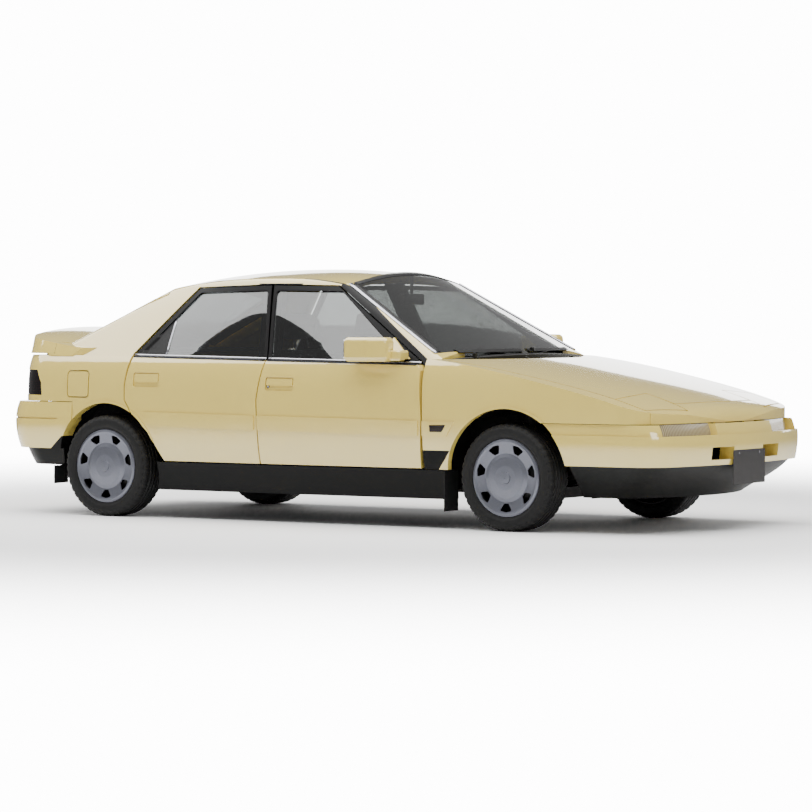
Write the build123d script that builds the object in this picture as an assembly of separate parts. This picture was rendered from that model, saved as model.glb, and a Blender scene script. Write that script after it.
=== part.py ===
# Five-door hatchback with pop-up headlamps, built as an assembly of separate panels.
# X points forward, Y to the car's left, Z up; the origin is on the ground under the middle.
# All sizes are in millimetres.
import math
import os
from build123d import *

os.makedirs("parts", exist_ok=True)

# Driving dimensions
LENGTH = 4220.0
HEIGHT = 1310.0
HALF_WIDTH = 830.0          # door skin at its widest
WHEELBASE = 2500.0
FRONT_OVERHANG = 940.0
HALF_TRACK = 715.0
TYRE_RADIUS = 268.0         # loaded radius, so the hub stands at this height
TYRE_WIDTH = 185.0
RIM_RADIUS = 194.0
BELT_REAR = 850.0
BELT_FRONT = 826.0
SILL_BOTTOM = 150.0
DOOR_BOTTOM = 300.0
BUMPER_LINE = 541.0
SHUT_GAP = 7.0              # between a moving panel and its neighbour
FIXED_GAP = 3.0             # between two fixed panels
SEAT = 0.3                  # between a piece and what it sits in
DOOR_THICK = 60.0
FRAME_THICK = 16.0
PANEL = 30.0
ARCH_FRONT = 343.0          # wheel arch radii
ARCH_REAR = 333.0
ARCH_LIP = 4.0              # rolled edge round each arch, proud of the skin
MOULDING = 7.0              # side moulding, proud of the skin
STEER_OFFSET = 62.0         # steering axis inboard of the wheel middle
AXLE_BORE = 0.1             # running gap of a wheel on its spindle

# Places that follow from them
NOSE = LENGTH / 2
TAIL = -LENGTH / 2
FRONT_AXLE = NOSE - FRONT_OVERHANG
REAR_AXLE = FRONT_AXLE - WHEELBASE
HUB = TYRE_RADIUS
NOSE_LIP = NOSE - 75
TAIL_FACE = TAIL + 75
DOOR_FRONT = FRONT_AXLE - 487
STEER_Y = HALF_TRACK - STEER_OFFSET
BIG = 3000.0


def outline(z, nose, tail, half, front_half, rear_half, front_bow, rear_bow, front_r, rear_r, mid_x):
    """Plan outline of the car at height z: four arcs with rounded corners."""
    fr, fl = (nose - front_bow, -front_half), (nose - front_bow, front_half)
    rr, rl = (tail + rear_bow, -rear_half), (tail + rear_bow, rear_half)
    face = make_face([ThreePointArc(rr, (mid_x, -half), fr), ThreePointArc(fr, (nose, 0), fl),
                      ThreePointArc(fl, (mid_x, half), rl), ThreePointArc(rl, (tail, 0), rr)])
    face = fillet(face.vertices().sort_by(Axis.X)[-2:], front_r)
    face = fillet([v for v in face.vertices() if abs(v.X - tail - rear_bow) < 0.01], rear_r)
    return Pos(0, 0, z) * face


def walls(inset):
    """Lower body below the belt, drawn in by inset on every side."""
    levels = [(150, 60), (310, 24), (500, 3), (640, 0), (740, 6), (800, 21), (852, 49)]
    return loft([outline(z, NOSE_LIP - inset, TAIL_FACE + inset, HALF_WIDTH - d - inset,
                         HALF_WIDTH - d - 56 - inset, HALF_WIDTH - d - 60 - inset,
                         105, 105, 185, 190, -100) for z, d in levels])


def glasshouse(inset):
    """Body above the belt: screen, side windows and rear glass in one smooth hull."""
    levels = [(800, 950, -2040, 796), (930, 715, -1782, 735), (1110, 390, -1420, 652), (1330, 5, -980, 535)]
    return loft([outline(z, f - inset, r + inset, h - inset, h - 45 - inset, h - 60 - inset,
                         130, 160, 70, 80, -300) for z, f, r, h in levels])


def below(profile, crown, half, floor):
    """Solid under a curved top: a side profile carried across the car with a crown."""
    sections = []
    first, last = profile[0], profile[-1]
    for y in (-900, -600, -300, 0, 300, 600, 900):
        drop = crown * (y / half) ** 2
        sections.append(make_face([
            Spline(*[(x, y, z - drop) for x, z in profile]),
            Line((last[0], y, last[1] - drop), (last[0], y, floor)),
            Line((last[0], y, floor), (first[0], y, floor)),
            Line((first[0], y, floor), (first[0], y, first[1] - drop))]))
    return loft(sections)


def side(points, y0, y1, radius=0):
    """Prism along Y of an outline drawn in X and Z."""
    face = make_face(Polyline(*points, close=True))
    if radius:
        face = fillet(face.vertices(), radius)
    return extrude(Pos(0, y0, 0) * Rot(90, 0, 0) * face, y1 - y0, dir=(0, 1, 0))


def plan(points, z0, z1, radius=0):
    """Prism along Z of an outline drawn in X and Y."""
    face = make_face(Polyline(*points, close=True))
    if radius:
        face = fillet(face.vertices(), radius)
    return extrude(Pos(0, 0, z0) * face, z1 - z0, dir=(0, 0, 1))


def box(x0, x1, y0, y1, z0, z1, radius=0):
    """Box between two corners, its edges rounded when a radius is given."""
    b = Pos((x0 + x1) / 2, (y0 + y1) / 2, (z0 + z1) / 2) * Box(abs(x1 - x0), abs(y1 - y0), abs(z1 - z0))
    return fillet(b.edges(), radius) if radius else b


def rod_y(x, z, radius, y0, y1):
    """Cylinder along Y."""
    return Pos(x, (y0 + y1) / 2, z) * Rot(90, 0, 0) * Cylinder(radius, abs(y1 - y0))


def flip(shape):
    """The same piece on the car's left side."""
    return mirror(shape, Plane.XZ)


def grown(points, gap):
    """Outline pushed out by gap (in when it is negative)."""
    face = make_face(Polyline(*points, close=True))
    return offset(face, gap, kind=Kind.INTERSECTION)


def side_of(face, y0, y1):
    return extrude(Pos(0, y0, 0) * Rot(90, 0, 0) * face, y1 - y0, dir=(0, 1, 0))


def plan_of(face, z0, z1):
    return extrude(Pos(0, 0, z0) * face, z1 - z0, dir=(0, 0, 1))


def solids_only(shape):
    """Drop slivers that a cut may leave."""
    found = [s for s in shape.solids() if s.volume > 2000]
    return found[0] if len(found) == 1 else Compound(found)


nodes = {}


def keep(name, *shapes):
    found = []
    for shape in shapes:
        found += [s for s in shape.solids() if s.volume > 500]
    nodes[name] = found[0] if len(found) == 1 else Compound(found)


# Hulls
bonnet_profile = [(560, 904), (900, 872), (1300, 800), (1700, 708), (1911, 644), (2000, 600),
                  (NOSE_LIP, 545)]
roof_profile = [(-2300, 1110), (-1500, 1165), (-1150, 1236), (-800, 1290), (-400, HEIGHT), (-100, 1297),
                (100, 1266), (400, 1190), (1050, 1120)]
deck_profile = [(TAIL_FACE - 20, 998), (-1900, 988), (-1720, 965), (-1300, 955)]


def lowered(profile, drop, back=0):
    return [(x - back, z - drop) for x, z in profile]


w0, w30, w45, w60, w68, w110 = [walls(d) for d in (0, PANEL, 45, DOOR_THICK, DOOR_THICK + 8, 110)]
g0, g24, g30, g32, g60 = [glasshouse(d) for d in (0, FRAME_THICK, PANEL, FRAME_THICK + 8, 60)]
bonnet_top = below(bonnet_profile, 40, 760, 60)
bonnet_under = below(lowered(bonnet_profile, PANEL, PANEL), 40, 760, 60)
roof_top = below(roof_profile, 48, 560, 600)
roof_under = below(lowered(roof_profile, PANEL), 48, 560, 600)


def rounded_top(hull, top, radius):
    """Hull cut off under its roof, with the edge between them rounded."""
    body = hull & top
    rim = [e for e in body.edges() if e.center().Z > 1230 and abs(e.center().Y) > 500 and e.length > 300]
    return fillet(rim, radius) if radius else body


house = rounded_top(g0, roof_top, 40)
house24 = g24 & below(lowered(roof_profile, FRAME_THICK), 48, 560, 600)
house30 = g30 & roof_under
house60 = g60 & below(lowered(roof_profile, 60), 48, 560, 600)


def belt_z(x):
    return BELT_FRONT + (DOOR_FRONT - x) * (BELT_REAR - BELT_FRONT) / (DOOR_FRONT + 1140)


under_belt = side([(-2300, belt_z(-2300)), (1500, belt_z(1500)), (1500, 60), (-2300, 60)], -BIG, BIG)


def arch(axle, radius, y0=-BIG, y1=BIG):
    return rod_y(axle, HUB, radius, y0, y1)


# Outer skin of the right side: side moulding and rolled arch edges stand proud of the walls
arch_front, arch_rear = arch(FRONT_AXLE, ARCH_FRONT), arch(REAR_AXLE, ARCH_REAR)
moulding_line = [(-1075, 560), (-1020, 486), (832, 466), (876, 542)]
lip_rings = (arch(FRONT_AXLE, ARCH_FRONT + 14, -BIG, -500) - arch_front) + (
    arch(REAR_AXLE, ARCH_REAR + 14, -BIG, -500) - arch_rear)
skin = w0 + (walls(-MOULDING) & side(moulding_line, -BIG, -600)) + (walls(-ARCH_LIP) & lip_rings)

# Shut lines of the right side, in X and Z
front_door_line = [
    (DOOR_FRONT - 10, DOOR_BOTTOM), (DOOR_FRONT, 560), (DOOR_FRONT - 12, belt_z(DOOR_FRONT) - 30),
    (DOOR_FRONT - 45, belt_z(DOOR_FRONT) + 12), (12, 1222), (-385, 1228), (-292, BELT_REAR - 8),
    (-330, 633), (-318, DOOR_BOTTOM)]
rear_door_line = [
    (-318, DOOR_BOTTOM), (-330, 633), (-292, BELT_REAR - 8), (-385, 1228), (-872, 1212), (-1178, 862),
    (-1199, 700), (-1199, 620), (-1150, 545), (-1045, 450), (-949, DOOR_BOTTOM)]
front_window = [(540, belt_z(540) + 8), (44, 1194), (-352, 1198), (-268, belt_z(-268) + 8)]
rear_window = [(-314, belt_z(-314) + 8), (-404, 1198), (-848, 1186), (-1132, belt_z(-1132) + 8)]
half_gap = SHUT_GAP / 2
# The frames' rear edges swing back a little as a door opens, so they stand further off
front_door_face = grown([(-377, z) if x == -385 else (x, z) for x, z in front_door_line], -half_gap)
rear_door_face = grown([(x + 9, z) if x in (-872, -1178) else (x, z) for x, z in rear_door_line], -half_gap)
front_hole = side_of(grown(front_door_line, half_gap), -BIG, 0)
rear_hole = side_of(grown(rear_door_line, half_gap), -BIG, 0)
HANDLE_DEEP = 9.0


def handle(x0, x1, z0, z1):
    """Door handle: a shallow recess and the flap that stands in its upper part."""
    recess = side([(x0, z0), (x0, z1), (x1, z1), (x1, z0)], -BIG, -600, 12) - walls(HANDLE_DEEP)
    flap = side([(x0 + 6, z0 + 26), (x0 + 6, z1 - 7), (x1 - 6, z1 - 7), (x1 - 6, z0 + 26)], -BIG, -600, 8)
    return recess, (walls(1) & flap) - walls(HANDLE_DEEP + 6)


def door(face, window, grip, bare_front):
    """Door: skin and inner panel below the belt, window frame above it, and its pane."""
    cut = side_of(face, -BIG, -400)
    recess, flap = handle(*grip)
    lower = (skin & cut & under_belt) - w60 - (box(bare_front, BIG, -BIG, 0, 400, 620) - w0)
    lower = (lower - recess) + flap
    frame = ((house & cut & high) - house24) - side(window, -BIG, 0, 18) - (w60 & under_belt)
    pane_cut = side_of(fillet(grown(window, -SEAT).vertices(), 18 - SEAT), -BIG, -400)
    pane = (g9 & pane_cut) - g14
    return (lower + frame) - arch_rear, pane


g9, g14 = glasshouse(9), glasshouse(14)
high = side([(-2300, 805), (1500, 805), (1500, 1500), (-2300, 1500)], -BIG, BIG)
front_door, front_pane = door(front_door_face, front_window, (-272, -96, 683, 752), DOOR_FRONT - 18)
rear_door, rear_pane = door(rear_door_face, rear_window, (-1140, -968, 690, 766), -345)
keep("door_front_right", front_door)
keep("door_front_left", flip(front_door))
keep("door_rear_right", rear_door)
keep("door_rear_left", flip(rear_door))
keep("glass_front_right", front_pane)
keep("glass_front_left", flip(front_pane))
keep("glass_rear_right", rear_pane)
keep("glass_rear_left", flip(rear_pane))

# Bonnet, headlamp lids, nose panel and fenders share one front shell
front_shell = (skin & bonnet_top & box(DOOR_FRONT - 60, BIG, -BIG, BIG, 60, 1000)) - (w30 & bonnet_under)
LID_REAR, LID_FRONT, LID_IN, LID_OUT = 1738.0, 1975.0, 388.0, 694.0
LID_SWEEP = 72.0            # the lid's outer front corner lies this far behind the inner one
LID_SKIN = 14.0
BONNET_FRONT, BONNET_REAR, BONNET_SIDE = 1900.0, 742.0, 745.0


def bonnet_face(gap):
    """Bonnet seen from above; its front corners step back round the lamp lids."""
    g = gap
    right = [(BONNET_REAR - g, -BONNET_SIDE - g), (LID_REAR + g, -LID_OUT - g), (LID_REAR + g, -LID_IN - g),
             (BONNET_FRONT + g, -LID_IN - g)]
    left = [(x, -y) for x, y in reversed(right)]
    return make_face([Polyline(*right), ThreePointArc(right[-1], (BONNET_FRONT + 22 + g, 0), left[0]),
                      Polyline(*left), ThreePointArc(left[-1], (BONNET_REAR + 130 - g, 0), right[0])])


def lid_face(gap):
    """Lamp lid seen from above; its front edge follows the nose."""
    face = make_face(Polyline((LID_REAR, -LID_OUT), (LID_FRONT - LID_SWEEP, -LID_OUT), (LID_FRONT, -LID_IN - 12),
                              (LID_REAR, -LID_IN), close=True))
    return offset(face, gap, kind=Kind.INTERSECTION)


bonnet_cut = plan_of(bonnet_face(-half_gap), 300, 1000)
bonnet_hole = plan_of(bonnet_face(half_gap), 300, 1000)
lid_cut = plan_of(lid_face(-half_gap), 300, 1000)
lid_hole = plan_of(lid_face(half_gap + 2), 300, 1000)
front_cover = front_shell & box(0, BIG, -BIG, BIG, BUMPER_LINE + FIXED_GAP, 1000)
keep("bonnet", front_shell & bonnet_cut)

# Each lamp pod: its lid and a housing whose front is round about the hinge, so it turns clear
LID_HINGE_Z = 690.0
pod_reach = LID_FRONT - LID_SWEEP - LID_REAR - SHUT_GAP
lid = (w0 & bonnet_top) - below(lowered(bonnet_profile, LID_SKIN, LID_SKIN), 40, 760, 60)
lid = lid & lid_cut & box(0, BIG, -BIG, BIG, BUMPER_LINE + SHUT_GAP, 1000)
lid_mid = (LID_IN + LID_OUT) / 2 + 4
pod = rod_y(LID_REAR + half_gap, LID_HINGE_Z, pod_reach, -lid_mid - 118, -lid_mid + 118)
pod = pod - box(-BIG, LID_REAR + 70, -BIG, BIG, 0, 2000)
POD_SLOPE = 0.825


def pod_low(x):
    """Height of the pod's flat underside, which falls away from the hinge."""
    return LID_HINGE_Z - (x - LID_REAR) * POD_SLOPE


pod = pod & below(lowered(bonnet_profile, LID_SKIN / 2), 40, 760, 60) & side(
    [(LID_REAR, LID_HINGE_Z), (LID_REAR + 400, LID_HINGE_Z - 10), (LID_REAR + 400, pod_low(LID_REAR + 400))],
    -BIG, BIG)
headlamp = lid + pod
keep("headlamp_right", headlamp)
keep("headlamp_left", flip(headlamp))

nose_line = LID_OUT + half_gap
nose_area = plan([(BONNET_FRONT - 10, -nose_line), (BIG, -nose_line), (BIG, nose_line),
                  (BONNET_FRONT - 10, nose_line)], 300, 1000) - bonnet_hole - lid_hole - flip(lid_hole)
nose_panel = front_cover & nose_area
for y in (-1, 1):           # feet that stand on the bumper's top
    nose_panel = nose_panel + box(NOSE_LIP - 23, NOSE_LIP - 11, y * 100, y * 200,
                                  BUMPER_LINE + SEAT, BUMPER_LINE + 10)
keep("nose_panel", nose_panel)
fender = (front_shell - bonnet_hole - lid_hole) - plan(
    [(BONNET_FRONT - 10, -nose_line - FIXED_GAP), (BIG, -nose_line - FIXED_GAP), (BIG, 0), (BONNET_FRONT - 10, 0)],
    60, 1000)
fender = fender & box(DOOR_FRONT + SHUT_GAP, BIG, -BIG, -685, DOOR_BOTTOM, 1000)
fender = fender - arch_front - box(FRONT_AXLE, BIG, -BIG, BIG, 0, BUMPER_LINE + FIXED_GAP)
fender = fender - front_hole - house
keep("front_fenders", solids_only(fender), flip(solids_only(fender)))

# Roof skin, screen and the sides' pillars share the upper shell
ROOF_SIDE, ROOF_REAR = 548.0, -1082.0
HATCH_TOP, HATCH_FOOT = 566.0, 668.0
roof_area = plan([(ROOF_REAR + 2, -ROOF_SIDE), (-300, -ROOF_SIDE - 6), (60, -ROOF_SIDE + 10), (60, ROOF_SIDE - 10),
                  (-300, ROOF_SIDE + 6), (ROOF_REAR + 2, ROOF_SIDE)], 900, 1500)


def screen_face(gap):
    """Windscreen seen from above."""
    right = [(836 + gap, -1), (690 + gap, -664 - gap), (62 - gap, -506 - gap)]
    return make_face(Polyline(*right, *[(x, -y) for x, y in reversed(right)], close=True))


screen_hole = plan_of(screen_face(0), 700, 1500) & box(60, BIG, -BIG, BIG, 700, 1500)
g6 = glasshouse(6)
screen = (g0 & plan_of(screen_face(-SEAT), 868, 1500)) - g6
keep("windscreen", solids_only(screen))
keep("roof", (house & roof_area) - house30)


def hatch_area(gap):
    """Tailgate seen from above: rear glass, its frame and the whole spoiler."""
    top, foot = HATCH_TOP + gap, HATCH_FOOT + gap
    return plan([(ROOF_REAR + gap, -top), (ROOF_REAR + gap, top), (-1722, foot), (-1722 + gap, 900), (-2300, 900),
                 (-2300, -900), (-1722 + gap, -900), (-1722, -foot)], 860, 1500)


def deck(inset):
    """Spoiler block over the tail, between the belt groove and its curved top."""
    block = loft([outline(z, NOSE_LIP - inset, TAIL_FACE + t + inset, h - inset, h - 56 - inset, h - 60 - inset,
                          105, 95, 185, 175, -100) for z, t, h in
                  ((836, 0, 790), (870, 0, 780), (900, 0, 768), (945, -4, 748), (985, 0, 726), (1010, 8, 710))])
    wedge = plan([(-1330, -690), (-1530, -732), (-2300, -900), (-2300, 900), (-1530, 732), (-1330, 690)], 600, 1200)
    return block & below(lowered(deck_profile, inset), 48, 700, 600) & wedge


deck0, deck30 = deck(0), deck(PANEL)
GROOVE = 858.0
rear_part = box(-BIG, -900, -BIG, BIG, GROOVE - 10, 1500)
tail_body = (house & rear_part) + (deck0 & rear_part)
TAIL_LAMP_IN, LAMP_LOW, LAMP_HIGH = 520.0, 638.0, 772.0
REAR_BUMPER_TOP, REAR_BUMPER_FRONT = 603.0, REAR_AXLE - 232
HATCH_LOW = 614.0
hatch_upper = (tail_body & hatch_area(-half_gap)) - house30 - deck30
hatch_lower = (w0 & box(-BIG, -1900, -TAIL_LAMP_IN + 12, TAIL_LAMP_IN - 12, HATCH_LOW, 846)) - w30


def neck(inset):
    return extrude(outline(800, NOSE_LIP, TAIL_FACE + inset, 790 - inset, 734 - inset, 730 - inset,
                           105, 105, 185, 190, -100), 100)


hatch_neck = (neck(26) - neck(72)) & box(-BIG, -1850, -TAIL_LAMP_IN + 12, TAIL_LAMP_IN - 12, 800, 900)
REAR_GLASS = [(ROOF_REAR - 120, -500), (ROOF_REAR - 120, 500), (-1672, 590), (-1672, -590)]
glass_hole = plan(REAR_GLASS, 850, 1500, 30)
hatch = (hatch_upper + hatch_lower + hatch_neck) - glass_hole
hatch_pane = (g0 & plan_of(fillet(grown(REAR_GLASS, -SEAT).vertices(), 30 - SEAT), 850, 1500)) - g6
keep("hatch", solids_only(hatch))
keep("hatch_glass", solids_only(hatch_pane))

# Body side: pillars, rails, sill and rear quarter around the door holes
SILL_IN = 600.0
quarter = (skin & box(-BIG, -900, -BIG, 0, DOOR_BOTTOM, GROOVE - 6) & under_belt) - w45
quarter = quarter - arch_rear - rear_hole
quarter = quarter - box(-BIG, REAR_BUMPER_FRONT + FIXED_GAP, -BIG, BIG, 0, REAR_BUMPER_TOP + FIXED_GAP)
quarter = quarter - box(-BIG, -1900, -TAIL_LAMP_IN, 0, 0, 1000)


def lamp_zone(gap):
    """Side outline of the tail lamp, whose front edge leans back towards the top."""
    return side([(-2300, LAMP_LOW + gap), (-1776 - gap, LAMP_LOW + gap), (-1782 - gap, 704),
                 (-1816 - gap, LAMP_HIGH - gap), (-2300, LAMP_HIGH - gap)], -BIG, -TAIL_LAMP_IN - gap)


quarter = quarter - lamp_zone(0)
right_half = box(-BIG, BIG, -BIG, -420, 0, 1500)
pillars = ((house & high & right_half) - house60) - front_hole - rear_hole - screen_hole
roof_hole = plan([(ROOF_REAR, -ROOF_SIDE - FIXED_GAP), (-300, -ROOF_SIDE - 6 - FIXED_GAP),
                  (70, -ROOF_SIDE + 10 - FIXED_GAP), (70, 0), (ROOF_REAR, 0)], 900, 1500)
# A ledge of the rail stays under the roof skin and carries it
roof_hole = roof_hole - (glasshouse(PANEL + SEAT) & below(lowered(roof_profile, PANEL + SEAT), 48, 560, 600))
pillars = pillars - plan_of(screen_face(0), 700, 866) - roof_hole - box(-BIG, -1790, -BIG, 0, 0, 1500)
pillars = pillars - hatch_area(half_gap) - box(BONNET_REAR - 12, BIG, -BIG, 0, 0, 880) - bonnet_hole
back_pillar = (tail_body & box(-1760, -1000, -BIG, -420, 0, 1500)) - house60 - deck(45)
back_pillar = back_pillar - hatch_area(half_gap) - rear_hole - roof_hole
inner_ring = (w68 & under_belt & side([(-395, 200), (-395, 860), (-245, 860), (-245, 200)], -BIG, -100)) - w110
inner_post = (g32 & side([(-360, 800), (-450, 1230), (-330, 1230), (-235, 800)], -BIG, -100) & roof_under) - g60
inner_post = inner_post - ((w0 & Pos(0, 0, 6) * under_belt) - w68)
front_post = (w68 & box(DOOR_FRONT - 40, DOOR_FRONT + 50, -BIG, -100, 200, 830)) - w110
# Hinge pads: they fill the room between each door's inner face and its post
hinge_pads = (walls(DOOR_THICK + SEAT) - walls(90)) & (
    box(DOOR_FRONT - 36, DOOR_FRONT - 9, -BIG, -100, 520, 600) + box(-352, -320, -BIG, -100, 690, 790))
sill = (w0 & box(-1020, 800, -BIG, -SILL_IN, SILL_BOTTOM, DOOR_BOTTOM - half_gap)) - w110
sill = sill - arch_front - arch_rear
FLAP_FRONT = -1450.0
FLAP = [(-1591, 633), (-1591, 767), (FLAP_FRONT, 767), (FLAP_FRONT, 633)]
flap_hole = side_of(fillet(grown(FLAP, 6).vertices(), 22), -BIG, -600) & walls(-2)
quarter = quarter - (flap_hole - walls(34))
flap_rim = side_of(fillet(grown(FLAP, 0).vertices(), 18), -BIG, -600)
fuel_flap = (w0 & flap_rim) - walls(5)
hinge_lug = (w0 & box(FLAP_FRONT - 16, FLAP_FRONT - 6, -BIG, -600, 680, 728)) - walls(34 - SEAT)
keep("fuel_flap", fuel_flap + hinge_lug)
body_side = quarter + pillars + back_pillar + inner_ring + inner_post + front_post + hinge_pads + sill
body_side = max(body_side.solids(), key=lambda q: q.volume)
keep("body_sides", body_side, flip(body_side))

# Bumpers, air dam and the lamps let into them
LAMP_Y0, LAMP_Y1, LAMP_Z0 = 285.0, 690.0, 486.0
LAMP_BACK = 46.0            # lamp face behind the bumper's face
BUMPER_LOW, STEP_BACK = 335.0, 9.0


def front_hull(inset, low, high_z):
    levels = [(z, 22 * ((455 - z) / 170) ** 2 if z < 455 else 20 * ((z - 455) / 86) ** 2,
               18 * ((455 - z) / 170) ** 2) for z in (285, 340, 400, 455, 500, BUMPER_LINE)]
    hull = loft([outline(z, NOSE - t - inset, TAIL_FACE, HALF_WIDTH - d - inset, HALF_WIDTH - 56 - d - inset,
                         HALF_WIDTH - 60 - d - inset, 105, 60, 185, 140, -100) for z, t, d in levels])
    return hull & box(FRONT_AXLE + 200, BIG, -BIG, BIG, low, high_z)


bumper = front_hull(0, BUMPER_LOW, LAMP_Z0) + front_hull(STEP_BACK, LAMP_Z0 - 10, BUMPER_LINE)
bumper = bumper - front_hull(80, 200, BUMPER_LINE + 50) - arch(FRONT_AXLE, ARCH_FRONT)
for y in (-1, 1):
    bumper = bumper - box(NOSE - 250, BIG, y * LAMP_Y0, y * LAMP_Y1, LAMP_Z0, 700)
PLATE_Z, PLATE_HOLES, PLATE_SEAT = 388.0, 105.0, NOSE - 9
bumper = bumper - box(PLATE_SEAT, BIG, -PLATE_HOLES - 22, PLATE_HOLES + 22, PLATE_Z - 18, PLATE_Z + 18)
for y in (-1, 1):
    bumper = bumper - box(NOSE - 300, BIG, y * 150, y * 345, 362, 424)
    bumper = bumper - Pos(NOSE, y * PLATE_HOLES, PLATE_Z) * Rot(0, 90, 0) * Cylinder(3.2, 300)
lamp_hull = front_hull(LAMP_BACK, LAMP_Z0 + SEAT, BUMPER_LINE - SEAT)
lamp_hull = lamp_hull - front_hull(LAMP_BACK + 40, 200, BUMPER_LINE + 50)
lamps = [lamp_hull & box(NOSE - 250, BIG, y * (LAMP_Y0 + SEAT), y * (LAMP_Y1 - SEAT), 0, 700) for y in (-1, 1)]
keep("front_bumper", solids_only(bumper))
keep("front_lamps", *lamps)


def dam_hull(inset):
    return loft([outline(z, NOSE - t - inset, TAIL_FACE, HALF_WIDTH - d - inset, HALF_WIDTH - 70 - d - inset,
                         HALF_WIDTH - 60 - d - inset, bow, 60, r, 140, -100)
                 for z, t, d, bow, r in ((150, 225, 190, 160, 240), (230, 130, 110, 140, 215),
                                         (300, 50, 50, 120, 195), (342, 24, 24, 110, 185))])


dam = (dam_hull(0) - dam_hull(40)) & box(FRONT_AXLE + 200, BIG, -BIG, BIG, 172, BUMPER_LOW - SEAT)
dam = dam - arch(FRONT_AXLE, ARCH_FRONT + 6)
keep("air_dam", solids_only(dam))


def rear_hull(inset):
    levels = [(z, 60 * ((500 - z) / 245) ** 2 if z < 500 else 24 * ((z - 500) / 112) ** 2,
               48 * ((500 - z) / 245) ** 2 if z < 500 else 10 * ((z - 500) / 112) ** 2)
              for z in (255, 340, 420, 500, 560, 612)]
    return loft([outline(z, NOSE_LIP, TAIL + t + inset, HALF_WIDTH - d - inset, HALF_WIDTH - 70 - d - inset,
                         HALF_WIDTH - 58 - d - inset, 120, 105, 150, 170, -100) for z, t, d in levels])


BUMPER_WALL, VALANCE_TOP, VALANCE_LOW, VALANCE_BACK = 85.0, 352.0, 262.0, 28.0
rear_bumper = (rear_hull(0) & box(-BIG, REAR_BUMPER_FRONT, -BIG, BIG, VALANCE_TOP, REAR_BUMPER_TOP)) + (
    rear_hull(VALANCE_BACK) & box(-BIG, REAR_BUMPER_FRONT, -BIG, BIG, VALANCE_LOW, VALANCE_TOP + 10))
groove = (rear_hull(-1) - rear_hull(6)) & box(-BIG, REAR_BUMPER_FRONT - 100, -BIG, BIG, 510, 518)
rear_bumper = rear_bumper - rear_hull(BUMPER_WALL) - arch(REAR_AXLE, ARCH_REAR) - groove
keep("rear_bumper", solids_only(rear_bumper))
tail_lamp = (walls(2) & lamp_zone(SEAT)) - w45
keep("tail_lamps", solids_only(tail_lamp), flip(solids_only(tail_lamp)))

# Floor: pan, tunnel, bulkhead with its plenum shelf, rails with the lamp pods' and the bonnet's
# stops, wheel housings and rear panel
FLOOR_LOW, FLOOR_TOP, LOAD_LOW, LOAD_TOP = 190.0, 218.0, 304.0, 330.0
RAIL_IN, RAIL_OUT = 380.0, 440.0
floor = walls(110 + SEAT) & box(-960, 735, -BIG, BIG, FLOOR_LOW, FLOOR_TOP)
floor = floor + box(-960, -930, -598, 598, FLOOR_LOW, LOAD_TOP) + box(706, 735, -598, 598, FLOOR_LOW, 790)
floor = floor + (box(-2050, -930, -560, 560, LOAD_LOW, LOAD_TOP) & rear_hull(BUMPER_WALL + SEAT))
floor = floor + side([(-930, 218), (735, 218), (735, 340), (400, 320), (-930, 300)], -95, 95)
floor = floor + ((rear_hull(BUMPER_WALL + SEAT) - rear_hull(BUMPER_WALL + PANEL)) & box(
    -BIG, -1800, -560, 560, LOAD_LOW, REAR_BUMPER_TOP))
floor = floor + box(706, 935, -600, 600, 772, 800 - SEAT)
bonnet_stop = below(lowered(bonnet_profile, PANEL + SEAT, PANEL), 40, 760, 60)
for y in (-1, 1):
    floor = floor + box(706, 735, y * 590, y * 690, 330, 790) + box(700, 1960, y * RAIL_IN, y * RAIL_OUT, 330, 440)
    rail_end = box(1900, NOSE, y * RAIL_IN, y * RAIL_OUT, 340, 440) & front_hull(80 + SEAT, 300, BUMPER_LINE)
    floor = floor + rail_end
    floor = floor + box(735, 1690, y * (RAIL_OUT - 16), y * RAIL_OUT, 430, 640) + side(
        [(1685, 430), (1685, 600), (1830, pod_low(1830) - SEAT), (1870, pod_low(1870) - SEAT), (1870, 430)],
        y * (RAIL_OUT - 16), y * RAIL_OUT)
    floor = floor + (box(850, 930, y * 560, y * 600, 785, 900) & bonnet_stop)
    for axle, radius in ((REAR_AXLE, ARCH_REAR), (FRONT_AXLE, ARCH_FRONT)):
        inner = 545 if axle == REAR_AXLE else RAIL_OUT - 16
        tub = rod_y(axle, HUB, radius + 46, y * inner, y * 795) & w68
        tub = tub - rod_y(axle, HUB, radius + 30, y * (inner + 16), y * 900)
        floor = floor + (tub - box(-BIG, BIG, -BIG, BIG, 0, LOAD_LOW if axle == REAR_AXLE else 560)
                         - box(-1024, -900, y * 570, y * 900, 0, 1000) - box(-BIG, -1520, y * 655, y * 900, 0, 616))
floor = floor - rod_y(REAR_AXLE, HUB, 62, -900, -530) - rod_y(REAR_AXLE, HUB, 62, 530, 900)
keep("floor_pan", solids_only(floor))

# Cowl under the screen's foot, parked wipers
cowl = (g0 & box(600, BIG, -BIG, BIG, 800, 867.7) & plan_of(screen_face(-SEAT), 700, 1000)) - glasshouse(46)
apron = (below(lowered(bonnet_profile, 8), 40, 760, 60) - below(lowered(bonnet_profile, 30), 40, 760, 60))
apron = apron & box(700, 900, -670, 670, 700, 1000) - bonnet_hole - glasshouse(0)
cowl = (cowl + apron) - bonnet_hole
keep("cowl", solids_only(cowl))
g_out, g_skin = glasshouse(-13), glasshouse(-SEAT)
blades = [(g_out & box(500, BIG, y0, y0 + 500, 884, 898)) - g_skin for y0 in (-545, 20)]
keep("wipers", *blades)

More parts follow.
